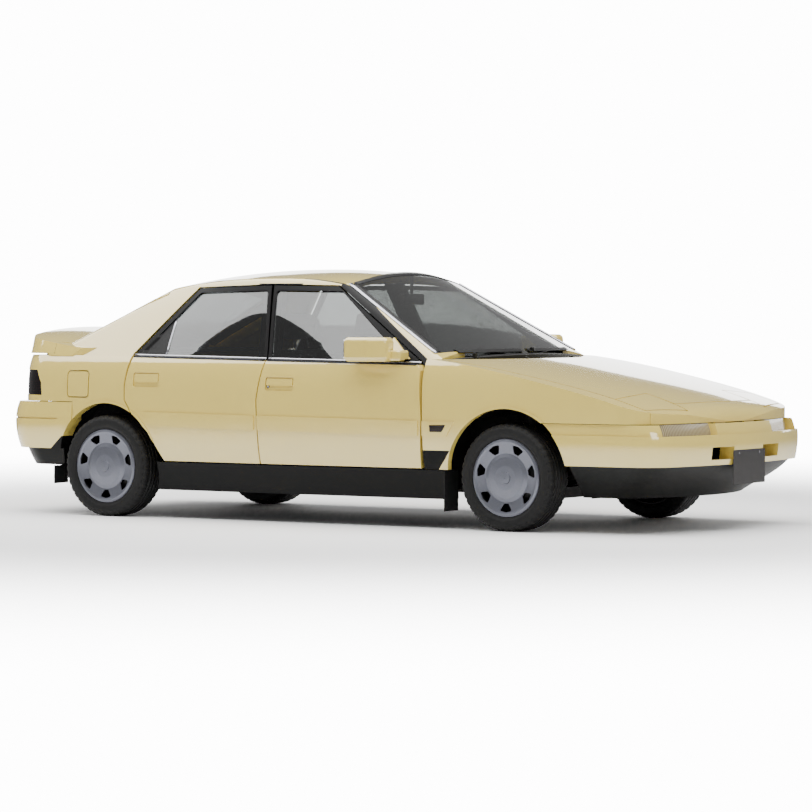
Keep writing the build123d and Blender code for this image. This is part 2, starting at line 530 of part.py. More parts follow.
# Right mirror, trimmed where its foot meets the door
mirror_shape = plan([(272, -784), (272, -922), (420, -926), (506, -864), (506, -784)], 838, 962, 28)
mirror_shape = fillet(mirror_shape.edges().filter_by(GeomType.LINE).filter_by(Axis.Z, reverse=True)
                      + mirror_shape.edges().filter_by(GeomType.CIRCLE), 26)
sail = glasshouse(-9) & side([(435, 962), (590, 832), (400, 832)], -BIG, -600, 4)
mirror_shape = mirror_shape + box(440, 560, -830, -740, 842, 896, 12) + sail
mirror_shape = mirror_shape - g_skin - walls(-SEAT)
mirror_shape = solids_only(mirror_shape)
keep("mirror_right", mirror_shape)
keep("mirror_left", flip(mirror_shape))

# Rear wiper on the tailgate glass
arm_strip = plan([(-1706, -420), (-1250, -326), (-1250, -310), (-1706, -392)], 850, 1500)
blade_strip = plan([(-1640, -400), (-1262, -322), (-1262, -315), (-1640, -393)], 850, 1500)
arm = (glasshouse(-32) & arm_strip) - glasshouse(-20)
blade = (glasshouse(-21) & blade_strip) - g_skin
boss = (Pos(-1694, -405, 950) * Cylinder(13, 160)) & glasshouse(-26)
rear_wiper = (arm + blade + boss) - g_skin - Pos(0, 0, SEAT) * deck0
keep("rear_wiper", solids_only(rear_wiper))

# Wheels: pressed rim with hub and slotted cover, axis along local Z
SPINDLE = 30.0


def turned(points):
    face = make_face(Polyline(*[(r, 0, z) for r, z in points], close=True))
    return revolve(face, Axis.Z)


WELL = RIM_RADIUS - 26
rim = turned([(RIM_RADIUS, -78), (RIM_RADIUS, -72), (WELL + 14, -68), (WELL + 14, -30), (WELL + 4, -10),
              (WELL + 4, 20), (WELL + 14, 45), (WELL + 14, 66), (RIM_RADIUS, 72), (RIM_RADIUS, 79), (WELL + 16, 79), (WELL + 8, 66),
              (WELL + 8, 48), (WELL - 2, 22), (WELL - 2, -12), (WELL + 8, -32), (WELL + 8, -66), (WELL + 20, -78)])
rim = rim + turned([(SPINDLE, -26), (72, -26), (75, 26), (120, 34), (WELL, 6), (WELL + 1, 18), (124, 46),
                    (75, 41), (SPINDLE, 41)])
cover = turned([(RIM_RADIUS - 2, 76), (RIM_RADIUS - 2, 83), (RIM_RADIUS - 14, 88), (RIM_RADIUS - 24, 84), (122, 75),
                (102, 83), (60, 89), (31, 90), (29, 94), (0, 95), (0, 86), (45, 83), (96, 77), (118, 68),
                (RIM_RADIUS - 26, 77), (RIM_RADIUS - 18, 81), (RIM_RADIUS - 12, 76)])
SLOT_IN, SLOT_OUT = 128.0, RIM_RADIUS - 22
slot_face = fillet(make_face(Polyline((SLOT_IN, -13), (SLOT_OUT - 8, -36), (SLOT_OUT, 0), (SLOT_OUT - 8, 36),
                                      (SLOT_IN, 13), close=True)).vertices(), 7)
slot = extrude(Pos(0, 0, 55) * slot_face, 50)
for i in range(7):
    cover = cover - Rot(0, 0, -90 + i * 360 / 7) * slot
wheel = rim + cover
HALF_TYRE = TYRE_WIDTH / 2
outer_side = [(RIM_RADIUS + SEAT, HALF_TYRE - 13.5), (RIM_RADIUS + 13, HALF_TYRE - 2.5),
              (RIM_RADIUS + 35, HALF_TYRE), (TYRE_RADIUS - 17, HALF_TYRE - 3.5),
              (TYRE_RADIUS - 6, HALF_TYRE - 12), (TYRE_RADIUS, HALF_TYRE - 30)]
inner_side = [(TYRE_RADIUS - 12, HALF_TYRE - 36), (TYRE_RADIUS - 28, HALF_TYRE - 13.5),
              (RIM_RADIUS + 23, HALF_TYRE - 14.5), (RIM_RADIUS + SEAT, HALF_TYRE - 30)]
tyre = turned([(r, -z) for r, z in outer_side] + outer_side[::-1] + inner_side[::-1]
              + [(r, -z) for r, z in inner_side])
for where, x in (("front", FRONT_AXLE), ("rear", REAR_AXLE)):
    place = Pos(x, -HALF_TRACK, HUB) * Rot(90, 0, 0)
    keep("wheel_" + where + "_right", place * wheel)
    keep("wheel_" + where + "_left", flip(place * wheel))
    keep("tyre_" + where + "_right", place * tyre)
    keep("tyre_" + where + "_left", flip(place * tyre))

# Steering knuckle: upright on the lower arm's pin, spindle for the wheel, steering arm
upright = Pos(FRONT_AXLE, -STEER_Y, HUB - 6) * Cylinder(27, 248)
spindle = rod_y(FRONT_AXLE, HUB, SPINDLE - AXLE_BORE, -HALF_TRACK - 36, -STEER_Y)
carrier = rod_y(FRONT_AXLE, HUB, 62, -HALF_TRACK + 30, -STEER_Y + 20)
steer_arm = box(FRONT_AXLE - 120, FRONT_AXLE, -STEER_Y - 16, -STEER_Y + 16, HUB - 80, HUB - 56)
knuckle = upright + spindle + carrier + steer_arm
PIN_LOW = HUB - 6 - 124
knuckle = knuckle - Pos(FRONT_AXLE, -STEER_Y, PIN_LOW + 20) * Cylinder(10 + AXLE_BORE, 44)
keep("knuckle_right", knuckle)
keep("knuckle_left", flip(knuckle))

# Front subframe: cross beam under the rails, lower arms with pins, struts
ON_END = (Align.CENTER, Align.CENTER, Align.MIN)
ARM_LOW = PIN_LOW - 24 - SEAT
beam = box(FRONT_AXLE - 70, FRONT_AXLE + 70, -440, 440, 150, 205)
for y in (-1, 1):
    beam = beam + box(FRONT_AXLE - 50, FRONT_AXLE + 50, y * 384, y * 436, 200, 329.7)
    arm = plan([(FRONT_AXLE - 60, y * 430), (FRONT_AXLE + 60, y * 430), (FRONT_AXLE + 26, y * STEER_Y),
                (FRONT_AXLE - 26, y * STEER_Y)], ARM_LOW, PIN_LOW - SEAT)
    beam = beam + arm + box(FRONT_AXLE - 60, FRONT_AXLE + 60, y * 400, y * 440, ARM_LOW, 152)
    beam = beam + Pos(FRONT_AXLE, y * STEER_Y, ARM_LOW) * Cylinder(26, 24, align=ON_END)
    beam = beam + Pos(FRONT_AXLE, y * STEER_Y, PIN_LOW - 10) * Cylinder(10, 40, align=ON_END)
    beam = beam + Pos(FRONT_AXLE, y * 540, PIN_LOW - 10) * Cylinder(22, 400, align=ON_END)
    beam = beam + Pos(FRONT_AXLE, y * 540, 430) * Cylinder(44, 160, align=ON_END)
keep("front_subframe", beam)

# Rear axle: twist beam, trailing arms up to the floor, spindles
axle = box(REAR_AXLE - 10, REAR_AXLE + 60, -560, 560, 230, 286)
for y in (-1, 1):
    axle = axle + box(REAR_AXLE + 20, -968, y * 470, y * 530, 236, 280)
    axle = axle + box(-1060, -968, y * 470, y * 530, 236, LOAD_LOW - SEAT)
    axle = axle + rod_y(REAR_AXLE, HUB, 55, y * 540, y * (HALF_TRACK - 30))
    axle = axle + rod_y(REAR_AXLE, HUB, SPINDLE - AXLE_BORE, y * 600, y * (HALF_TRACK + 36))
keep("rear_axle", axle)

# Engine block on its mounts, exhaust, tank
engine = box(900, 1600, -330, 330, 240, 640, 30)
for y in (-1, 1):
    engine = engine + box(1200, 1320, y * 320, y * (RAIL_IN - SEAT), 345, 425)
keep("engine", engine)
tank = box(-1268, -972, -440, 440, 196, LOAD_LOW - SEAT, 0)
keep("fuel_tank", fillet(tank.edges().filter_by(Axis.Z), 30))
pipe = Pos(-265, 230, 152) * Rot(0, 90, 0) * Cylinder(24, 2330)
pipe = pipe + Pos(-1700, 120, 236) * Rot(0, 90, 0) * Cylinder(66, 360) + box(-1880, -1520, 90, 150, 236, LOAD_LOW - SEAT)
pipe = pipe + box(-1440, -1400, 120, 250, 140, 180) + box(-1540, -1400, 100, 150, 150, 250)
pipe = pipe + box(-600, -560, 215, 245, 150, FLOOR_LOW - SEAT)
keep("exhaust", pipe)

# Mud flaps behind the wheels, hung from the arches
flap_front = box(800 + SEAT, 806, -790, -665, 90, DOOR_BOTTOM - half_gap)
flap_rear = box(REAR_AXLE - 362, REAR_AXLE - 356, -780, -665, 165, VALANCE_LOW - SEAT)
keep("mud_flaps", flap_front, flip(flap_front), flap_rear, flip(flap_rear))

# Cabin: dashboard, seats, shelf, inside mirror, steering wheel
dash = side([(700, 560), (706 - SEAT, 790), (690, 800), (560, 815), (430, 790), (400, 720), (440, 600),
             (520, 540)], -640, 640)

def front_seat(y):
    cushion = box(-240, 250, y - 240, y + 240, 300, 420, 40)
    back = side([(-250, 330), (-140, 360), (-300, 900), (-350, 930), (-400, 905)], y - 235, y + 235)
    head = Pos(-395, y, 1010) * Rot(0, -12, 0) * box(-45, 45, -130, 130, -75, 75, 30)
    posts = [Pos(-368, y + d, 930) * Rot(0, -12, 0) * Cylinder(7, 60) for d in (-60, 60)]
    runners = [box(-220, 220, y + d - 20, y + d + 20, FLOOR_TOP + SEAT, 320) for d in (-170, 170)]
    back = fillet(back.edges().filter_by(Axis.Y), 18)
    return cushion + back + head + posts[0] + posts[1] + runners[0] + runners[1]


SEAT_Y = 355.0
keep("front_seats", front_seat(-SEAT_Y), front_seat(SEAT_Y))
bench = box(-925, -560, -540, 540, FLOOR_TOP + SEAT, 400, 0)
bench = fillet(bench.edges().filter_by(Axis.Y), 40) - box(-930, -400, -96, 96, 200, 314)
bench_back = side([(-928, 335), (-810, 380), (-990, 850), (-1080, 850)], -540, 540)
bench = bench + fillet(bench_back.edges().filter_by(Axis.Y), 15)
keep("rear_seat", bench)
shelf = glasshouse(60 + SEAT) & box(-1640, -1290, -BIG, BIG, 862, 880)
keep("parcel_shelf", shelf)
mirror_stem = box(84, 94, -8, 8, 1170, HEIGHT) & glasshouse(6 + SEAT)
inside_mirror = box(70, 100, -110, 110, 1120, 1178, 8) + mirror_stem
keep("inside_mirror", inside_mirror)

COLUMN = Pos(310, SEAT_Y, 716) * Rot(0, -62, 0)
ring = COLUMN * Torus(180, 15)
hub = COLUMN * (Cylinder(52, 40) + box(-172, -40, -18, 18, -9, 9) + box(-20, 20, -172, 172, -9, 9))
column = COLUMN * Pos(0, 0, -80) * Cylinder(17, 140)
keep("dashboard", dash - COLUMN * Pos(0, 0, -150) * Cylinder(17 + AXLE_BORE, 200))
keep("steering_wheel", ring + hub + column)

for name, shape in nodes.items():
    export_step(shape, "parts/" + name + ".step")
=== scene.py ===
import math
import bmesh
import bpy
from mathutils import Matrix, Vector
from mathutils.bvhtree import BVHTree


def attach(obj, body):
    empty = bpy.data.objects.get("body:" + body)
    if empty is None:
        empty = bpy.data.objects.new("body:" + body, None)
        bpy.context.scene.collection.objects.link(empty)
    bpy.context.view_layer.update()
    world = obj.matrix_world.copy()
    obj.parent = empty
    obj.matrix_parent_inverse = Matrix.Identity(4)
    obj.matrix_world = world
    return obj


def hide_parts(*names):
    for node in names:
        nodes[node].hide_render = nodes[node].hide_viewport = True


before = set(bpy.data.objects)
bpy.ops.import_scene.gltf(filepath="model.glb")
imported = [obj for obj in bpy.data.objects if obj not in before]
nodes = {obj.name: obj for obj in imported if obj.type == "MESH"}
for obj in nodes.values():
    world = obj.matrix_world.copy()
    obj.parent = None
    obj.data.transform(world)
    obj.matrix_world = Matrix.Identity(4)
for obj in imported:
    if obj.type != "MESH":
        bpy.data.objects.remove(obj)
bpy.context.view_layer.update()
SIDES = (("right", -1), ("left", 1))

# Stand: a long lens far off the right front corner, almost level with the car's waist. The car is on a
# white paper floor under one very large soft box, whose near edge draws the bright line on the shoulder.
AZIMUTH, ELEVATION = math.radians(33.3), math.radians(1.67)
AIM, RANGE = Vector((0.054, 0, 0.588)), 20.89
IMAGE_PX, FOCAL_PX, SENSOR_MM = 812, 3954.9, 36
back = Vector((math.sin(AZIMUTH), -math.cos(AZIMUTH), 0)) * math.cos(ELEVATION)
back.z = math.sin(ELEVATION)
camera = bpy.data.objects.new("camera", bpy.data.cameras.new("camera"))
bpy.context.scene.collection.objects.link(camera)
camera.location = AIM + RANGE * back
camera.rotation_euler = (-back).to_track_quat("-Z", "Y").to_euler()
camera.data.sensor_width = SENSOR_MM
camera.data.lens = FOCAL_PX / IMAGE_PX * SENSOR_MM
camera.data.clip_end = 300
bpy.context.scene.camera = camera


def lin(code):
    """An sRGB hex colour as linear RGBA."""
    part = [int(code[i:i + 2], 16) / 255 for i in (0, 2, 4)]
    return [c / 12.92 if c <= 0.04045 else ((c + 0.055) / 1.055) ** 2.4 for c in part] + [1]


def add(finish, kind, ins=None, **settings):
    """Put one node into a tree, or take the one of that name, and set or link its sockets."""
    node = finish.node_tree.nodes.get(kind) or finish.node_tree.nodes.new(kind)
    for key, value in settings.items():
        setattr(node, key, value)
    for key, value in (ins or {}).items():
        if isinstance(value, bpy.types.NodeSocket):
            finish.node_tree.links.new(value, node.inputs[key])
        else:
            node.inputs[key].default_value = value
    return node


def new_finish(name):
    """An empty material and the Object coordinates that its patterns read."""
    finish = bpy.data.materials.new(name)
    finish.use_nodes = True
    return finish, add(finish, "ShaderNodeTexCoord").outputs["Object"]


# Paper: matt and white, with the faint cloud of a rolled sheet; it fades out behind the car
paper, spot = new_finish("white_sweep_paper")
fibre = add(paper, "ShaderNodeTexNoise", {"Vector": spot, "Scale": 1.5, "Detail": 4.0})
white = add(paper, "ShaderNodeMix", {"Factor": fibre.outputs["Fac"], "A": lin("F2F2F1"), "B": lin("FAFAFA")},
            data_type="RGBA")
reach = add(paper, "ShaderNodeVectorMath", {0: spot}, operation="LENGTH")
fade = add(paper, "ShaderNodeMapRange", {"Value": reach.outputs["Value"], "From Min": 2.8, "From Max": 9.0},
           interpolation_type="SMOOTHSTEP")
sheet = add(paper, "Principled BSDF", {"Base Color": white.outputs["Result"], "Roughness": 0.8})
clear = add(paper, "ShaderNodeBsdfTransparent")
mixed = add(paper, "ShaderNodeMixShader", {0: fade.outputs[0], 1: sheet.outputs[0], 2: clear.outputs[0]})
add(paper, "Material Output", {"Surface": mixed.outputs[0]})
floor_mesh = bpy.data.meshes.new("floor")
floor_mesh.from_pydata([(-16, -16, 0), (16, -16, 0), (16, 16, 0), (-16, 16, 0)], [], [(0, 1, 2, 3)])
floor = bpy.data.objects.new("floor", floor_mesh)
bpy.context.scene.collection.objects.link(floor)
floor.data.materials.append(paper)

world = bpy.data.worlds.new("white_studio")
bpy.context.scene.world = world
world.use_nodes = True
path = add(world, "ShaderNodeLightPath")
glow = add(world, "ShaderNodeMapRange", {"Value": path.outputs["Is Camera Ray"],
                                         "To Min": 0.3, "To Max": 14.0})
add(world, "Background", {"Color": lin("FFFFFF"), "Strength": glow.outputs[0]})
for name, size, strength, place, aim in (
        ("ceiling_box", (15, 6.6), 1450, (-1.5, -0.83, 5.0), (-1.5, -0.83, 0)),
        ("back_wall", (18, 2.8), 700, (-4.0, 10.0, 2.3), (-1.0, 0, 0.8)),
        ("front_box", (3, 2), 90, (8.5, -5.0, 2.6), (1.2, 0, 0.6))):
    lamp = bpy.data.lights.new(name, "AREA")
    lamp.shape = "RECTANGLE"
    lamp.size, lamp.size_y = size
    lamp.energy = strength
    stand = bpy.data.objects.new(name, lamp)
    stand.location = place
    stand.rotation_euler = (Vector(aim) - Vector(place)).to_track_quat("-Z", "Y").to_euler()
    stand.visible_camera = False
    bpy.context.scene.collection.objects.link(stand)

# Floor pan and running gear: welded pressings under stone-chip underseal, a cast block, an aluminised
# exhaust and a moulded tank, all bolted up from below before the body is trimmed.


def dress(names, finish):
    """Give CAD pieces their finish."""
    for name in names:
        nodes[name].data.materials.clear()
        nodes[name].data.materials.append(finish)


# Underseal: bitumen sprayed thick, so it is matt black with a pebbled skin of about 4 mm
underseal, spot = new_finish("bitumen_underseal")
pebble = add(underseal, "ShaderNodeTexVoronoi", {"Vector": spot, "Scale": 250.0})
dirt = add(underseal, "ShaderNodeTexNoise", {"Vector": spot, "Scale": 6.0, "Detail": 6.0})
shade = add(underseal, "ShaderNodeMix", {"Factor": dirt.outputs["Fac"], "A": lin("0C0C0C"), "B": lin("1A1918")},
            data_type="RGBA")
dent = add(underseal, "ShaderNodeBump", {"Height": pebble.outputs["Distance"], "Strength": 0.4, "Distance": 0.001})
add(underseal, "Principled BSDF", {"Base Color": shade.outputs["Result"], "Roughness": 0.8,
                                   "Specular IOR Level": 0.2, "Normal": dent.outputs["Normal"]})
dress(["floor_pan", "fuel_tank"], underseal)

# Forged and cast iron: stoved black over a sand-cast skin with grains of about 2 mm
iron, spot = new_finish("stoved_cast_iron")
sand = add(iron, "ShaderNodeTexNoise", {"Vector": spot, "Scale": 420.0, "Detail": 3.0})
rust = add(iron, "ShaderNodeTexNoise", {"Vector": spot, "Scale": 12.0, "Detail": 7.0})
shade = add(iron, "ShaderNodeMix", {"Factor": rust.outputs["Fac"], "A": lin("121213"), "B": lin("2A2724")},
            data_type="RGBA")
dent = add(iron, "ShaderNodeBump", {"Height": sand.outputs["Fac"], "Strength": 0.3, "Distance": 0.0008})
add(iron, "Principled BSDF", {"Base Color": shade.outputs["Result"], "Roughness": 0.6, "Metallic": 0.3,
                              "Normal": dent.outputs["Normal"]})
dress(["knuckle_right", "knuckle_left", "front_subframe", "rear_axle", "engine"], iron)

# Aluminised steel tube: dull silver that has blued and browned with heat
tube, spot = new_finish("aluminised_steel_tube")
heat = add(tube, "ShaderNodeTexNoise", {"Vector": spot, "Scale": 5.0, "Detail": 4.0})
shade = add(tube, "ShaderNodeMix", {"Factor": heat.outputs["Fac"], "A": lin("54504C"), "B": lin("77736E")},
            data_type="RGBA")
add(tube, "Principled BSDF", {"Base Color": shade.outputs["Result"], "Roughness": 0.45, "Metallic": 0.85})
dress(["exhaust"], tube)

# Body shell and outer panels: pressed steel, dipped, primed and sprayed with solid pale yellow enamel.
# Sills, window frames and the pillars between the windows are masked off and sprayed satin black.


def enamel(name, zones=(), outside=None):
    """Gloss enamel. zones are groups of half-planes (a, b, c): black where a*x + b*z > c in all of a group.
    outside is a direction: faces that look the other way are lined in dark grey."""
    finish, spot = new_finish(name)
    # A solid colour seen through clear lacquer: hardly any mottle, so the noise is metres wide
    haze = add(finish, "ShaderNodeTexNoise", {"Vector": spot, "Scale": 1.6, "Detail": 2.0})
    colour = add(finish, "ShaderNodeMix", {"Factor": haze.outputs["Fac"], "A": lin("DBC15C"), "B": lin("DFC767")},
                 data_type="RGBA").outputs["Result"]
    # Orange peel of the sprayed coat, in waves of about 3 mm
    peel = add(finish, "ShaderNodeTexNoise", {"Vector": spot, "Scale": 330.0, "Detail": 1.0})
    wave = add(finish, "ShaderNodeBump", {"Height": peel.outputs["Fac"], "Strength": 0.04, "Distance": 0.0004})
    dark = None
    for group in zones:
        inside = None
        for a, b, c in group:
            along = add(finish, "ShaderNodeVectorMath", {0: spot, 1: (a, 0, b)}, operation="DOT_PRODUCT")
            edge = add(finish, "ShaderNodeMath", {0: along.outputs["Value"], 1: 1500.0, 2: -1500.0 * c},
                       operation="MULTIPLY_ADD", use_clamp=True).outputs[0]
            inside = edge if inside is None else add(finish, "ShaderNodeMath", {0: inside, 1: edge},
                                                     operation="MULTIPLY").outputs[0]
        dark = inside if dark is None else add(finish, "ShaderNodeMath", {0: dark, 1: inside},
                                               operation="MAXIMUM").outputs[0]
    if outside:
        look = add(finish, "ShaderNodeNewGeometry").outputs["True Normal"]
        turn = add(finish, "ShaderNodeVectorMath", {0: look, 1: outside}, operation="DOT_PRODUCT").outputs["Value"]
        lining = add(finish, "ShaderNodeMath", {0: turn, 1: -12.0, 2: -3.0}, operation="MULTIPLY_ADD",
                     use_clamp=True).outputs[0]
        dark = lining if dark is None else add(finish, "ShaderNodeMath", {0: dark, 1: lining},
                                               operation="MAXIMUM").outputs[0]
    rough, coat, flat = 0.1, 1.0, 0.0
    if dark:
        colour = add(finish, "ShaderNodeMix", {"Factor": dark, "A": colour, "B": lin("0B0B0B")},
                     data_type="RGBA").outputs["Result"]
        rough = add(finish, "ShaderNodeMapRange", {"Value": dark, "To Min": 0.1, "To Max": 0.42}).outputs[0]
        # The black has no lacquer over it, so its mirror is cut back as the enamel's coat is left off
        coat = add(finish, "ShaderNodeMapRange", {"Value": dark, "To Min": 1.0, "To Max": 0.0}).outputs[0]
        flat = add(finish, "ShaderNodeMath", {0: dark, 1: 0.85}, operation="MULTIPLY").outputs[0]
    add(finish, "Principled BSDF", {"Base Color": colour, "Roughness": rough, "IOR": 1.7, "Metallic": flat,
                                    "Coat Weight": coat, "Coat IOR": 1.8, "Coat Roughness": 0.02,
                                    "Normal": wave.outputs["Normal"]})
    return finish


belt_fall = 0.024 / 1.823
belt_zero = 0.826 + 0.683 * belt_fall
above_belt = (belt_fall, 1, belt_zero - 0.004)
paint = enamel("sprayed_enamel")
dress(["roof", "nose_panel", "fuel_flap", "front_bumper", "mirror_right", "mirror_left"], paint)
dress(["body_sides"], enamel("body_side_enamel", [
    [(0, -1, -0.2985)],
    [(1, 0, -0.47), (-1, 0, 0.20), above_belt, (0, -1, -1.235)],
    [(1, 0, 0.02), (0, 1, 0.80), (-0.54, -0.84, -1.075)]]))
dress(["front_fenders"], enamel("fender_enamel", [[(-0.78, 0.62, -0.418), (0, -1, -0.396)]]))

# Bright and black strips: rolled stainless steel and extruded rubber, pushed on along the roof's ditches,
# the screen pillars and the screen's edge to cover the seams.
trees = {}


def touch(names, start, way):
    """Where a straight line first meets one of the CAD pieces, with the skin's normal there.
    A line that slips through a seam is tried again 2 mm to either side."""
    way = Vector(way)
    for shift in (0, 0.002, -0.002, 0.004, -0.004):
        best = None
        for name in names:
            if name not in trees:
                mesh = nodes[name].data
                trees[name] = BVHTree.FromPolygons([v.co for v in mesh.vertices],
                                                   [p.vertices for p in mesh.polygons])
            begin = Vector(start) + shift * Vector((1, way.z, 1 + way.z))
            hit, normal, _, far = trees[name].ray_cast(begin, way)
            if hit is not None and (best is None or far < best[2]):
                best = (hit, normal if normal.dot(way) < 0 else -normal, far)
        if best:
            return best[:2]
    return None


def piece(name, verts, faces, finish, body, smooth=True):
    """A mesh of the car that rides on one of its bodies."""
    mesh = bpy.data.meshes.new(name)
    mesh.from_pydata(verts, [], faces)
    form = bmesh.new()
    form.from_mesh(mesh)
    bmesh.ops.recalc_face_normals(form, faces=form.faces)
    form.to_mesh(mesh)
    form.free()
    mesh.polygons.foreach_set("use_smooth", [smooth] * len(mesh.polygons))
    made = bpy.data.objects.new(name, mesh)
    bpy.context.scene.collection.objects.link(made)
    made.data.materials.append(finish)
    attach(made, body)
    return made


def strip(name, stations, half, rise, finish, body, loop=False, sink=0.0015):
    """A strip of trim along points of a skin: crowned section, closed ends."""
    stations = [s for s in stations if s]
    count = len(stations)
    verts, faces = [], []
    for i, (spot, normal) in enumerate(stations):
        after = (i + 1) % count if loop else min(i + 1, count - 1)
        before = i - 1 if loop else max(i - 1, 0)
        across = normal.cross(stations[after][0] - stations[before][0]).normalized()
        for u, h in ((-1, -sink), (-1, 0.4 * rise), (-0.6, 0.9 * rise), (0, rise), (0.6, 0.9 * rise),
                     (1, 0.4 * rise), (1, -sink)):
            verts.append(spot + across * u * half + normal * h)
    for i in range(count if loop else count - 1):
        for k in range(7):
            a, b = i * 7 + k, i * 7 + (k + 1) % 7
            c, d = (i + 1) % count * 7 + (k + 1) % 7, (i + 1) % count * 7 + k
            faces.append((a, b, c, d))
    if not loop:
        faces += [tuple(range(7)), tuple(range(7 * count - 7, 7 * count))]
    return piece(name, verts, faces, finish, body)


def between(a, b, count):
    """Evenly spaced points from a to b."""
    return [Vector(a).lerp(Vector(b), i / (count - 1)) for i in range(count)]


# Stainless strip: rolled, so it keeps a fine brushed line along its length
stainless, spot = new_finish("rolled_stainless_strip")
line = add(stainless, "ShaderNodeTexNoise", {"Vector": spot, "Scale": 260.0, "Detail": 2.0})
rough = add(stainless, "ShaderNodeMapRange", {"Value": line.outputs["Fac"], "To Min": 0.16, "To Max": 0.3})
add(stainless, "Principled BSDF", {"Base Color": lin("B9B9BF"), "Metallic": 1.0, "Roughness": rough.outputs[0]})
# Extruded rubber: black, dull, with the faint bloom of its skin
seal, spot = new_finish("extruded_seal_rubber")
bloom = add(seal, "ShaderNodeTexNoise", {"Vector": spot, "Scale": 60.0, "Detail": 4.0})
shade = add(seal, "ShaderNodeMix", {"Factor": bloom.outputs["Fac"], "A": lin("080808"), "B": lin("121212")},
            data_type="RGBA")
add(seal, "Principled BSDF", {"Base Color": shade.outputs["Result"], "Roughness": 0.5, "Specular IOR Level": 0.3})
shell = ["roof", "body_sides", "windscreen", "cowl"]
down = (0, 0, -1)
for side, s in SIDES:
    strip("roof_ditch_" + side, [touch(shell, (p.x, p.y, 2), down) for p in
                                 between((0.03, s * 0.5455, 0), (-0.30, s * 0.5555, 0), 8)
                                 + between((-0.34, s * 0.5555, 0), (-1.07, s * 0.5495, 0), 14)],
          0.0045, 0.0012, seal, "body")
    strip("screen_pillar_moulding_" + side, [touch(shell, (p.x, p.y, 2), down) for p in
                                             between((0.685, s * 0.681, 0), (0.055, s * 0.522, 0), 24)],
          0.013, 0.007, stainless, "body")
    strip("screen_seal_" + side, [touch(shell, (p.x, p.y, 2), down) for p in
                                  between((0.683, s * 0.652, 0), (0.075, s * 0.498, 0), 24)],
          0.011, 0.002, seal, "body")
strip("screen_top_seal", [touch(shell, (0.086 - 0.02 * (p.y / 0.5) ** 2, p.y, 2), down) for p in
                          between((0, -0.495, 0), (0, 0.495, 0), 24)],
      0.014, 0.002, seal, "body")

# Doors: a sprayed skin hemmed over an inner panel, lined with dark vinyl board; the window frame is
# welded on and sprayed black, with a bright strip and a rubber wiper seal along the waist.
for side, s in SIDES:
    dress(["door_front_" + side, "door_rear_" + side],
          enamel("door_enamel_" + side, [[above_belt]], outside=(0, s, 0)))
    inward = (0, -s, 0)
    for where, x0, x1 in (("front", 0.636, -0.283), ("rear", -0.300, -1.166)):
        door = "door_" + where + "_" + side
        for label, lift, half, rise, finish in (("belt_strip", 0.0065, 0.0065, 0.006, stainless),
                                                ("belt_seal", -0.0025, 0.0035, 0.004, seal)):
            strip(label + "_" + where + "_" + side,
                  [touch([door], (p.x, s * 1.2, belt_zero - belt_fall * p.x + lift), inward)
                   for p in between((x0, 0, 0), (x1, 0, 0), 26)], half, rise, finish, door)
    # Blank quarter plate of the rear door, behind a slim bar
    corners = [Vector((-1.135, 0, 0.860)), Vector((-0.965, 0, 0.858)), Vector((-0.965, 0, 1.045))]
    steps = 8
    grid, verts, faces = {}, [], []
    for i in range(steps + 1):
        for j in range(steps + 1 - i):
            p = corners[0] + (corners[1] - corners[0]) * i / steps + (corners[2] - corners[0]) * j / steps
            hit = touch(["glass_rear_" + side, "door_rear_" + side], (p.x, s * 1.2, p.z), inward)
            grid[i, j] = len(verts)
            verts += [hit[0] + Vector((0, s * 0.003, 0)), hit[0] - Vector((0, s * 0.001, 0))]
    for i in range(steps):
        for j in range(steps - i):
            cells = [(grid[i, j], grid[i + 1, j], grid[i, j + 1])]
            if i + j < steps - 1:
                cells.append((grid[i + 1, j], grid[i + 1, j + 1], grid[i, j + 1]))
            for a, b, c in cells:
                faces += [(a, b, c), (c + 1, b + 1, a + 1)]
    rim = [grid[i, 0] for i in range(steps + 1)] + [grid[steps - k, k] for k in range(1, steps + 1)] + [
        grid[0, steps - k] for k in range(1, steps)]
    faces += [(a, a + 1, b + 1, b) for a, b in zip(rim, rim[1:] + rim[:1])]
    piece("quarter_plate_" + side, verts, faces, seal, "door_rear_" + side, smooth=False)
    strip("quarter_bar_" + side, [touch(["glass_rear_" + side], (p.x, s * 1.2, p.z), inward) for p in
                                  between((-0.962, 0, 0.862), (-0.962, 0, 1.04), 8)],
          0.006, 0.005, stainless, "door_rear_" + side)

    # Lock in the front handle's recess: a plated barrel in a dark bezel
    hole = touch(["door_front_" + side], (-0.259, s * 1.2, 0.7045), inward)[0]
    for label, radius, out, finish in (("lock_bezel", 0.0105, 0.002, seal),
                                       ("lock_barrel", 0.0062, 0.003, stainless)):
        rings = [(radius * 0.75, out), (radius, out * 0.4), (radius, -0.002)]
        verts = [hole + Vector((r * math.cos(k * math.pi / 12), s * lift, r * math.sin(k * math.pi / 12)))
                 for r, lift in rings for k in range(24)]
        faces = [(j * 24 + k, j * 24 + (k + 1) % 24, (j + 1) * 24 + (k + 1) % 24, (j + 1) * 24 + k)
                 for j in range(2) for k in range(24)] + [tuple(range(24)), tuple(range(48, 72))]
        piece(label + "_" + side, verts, faces, finish, "door_front_" + side)

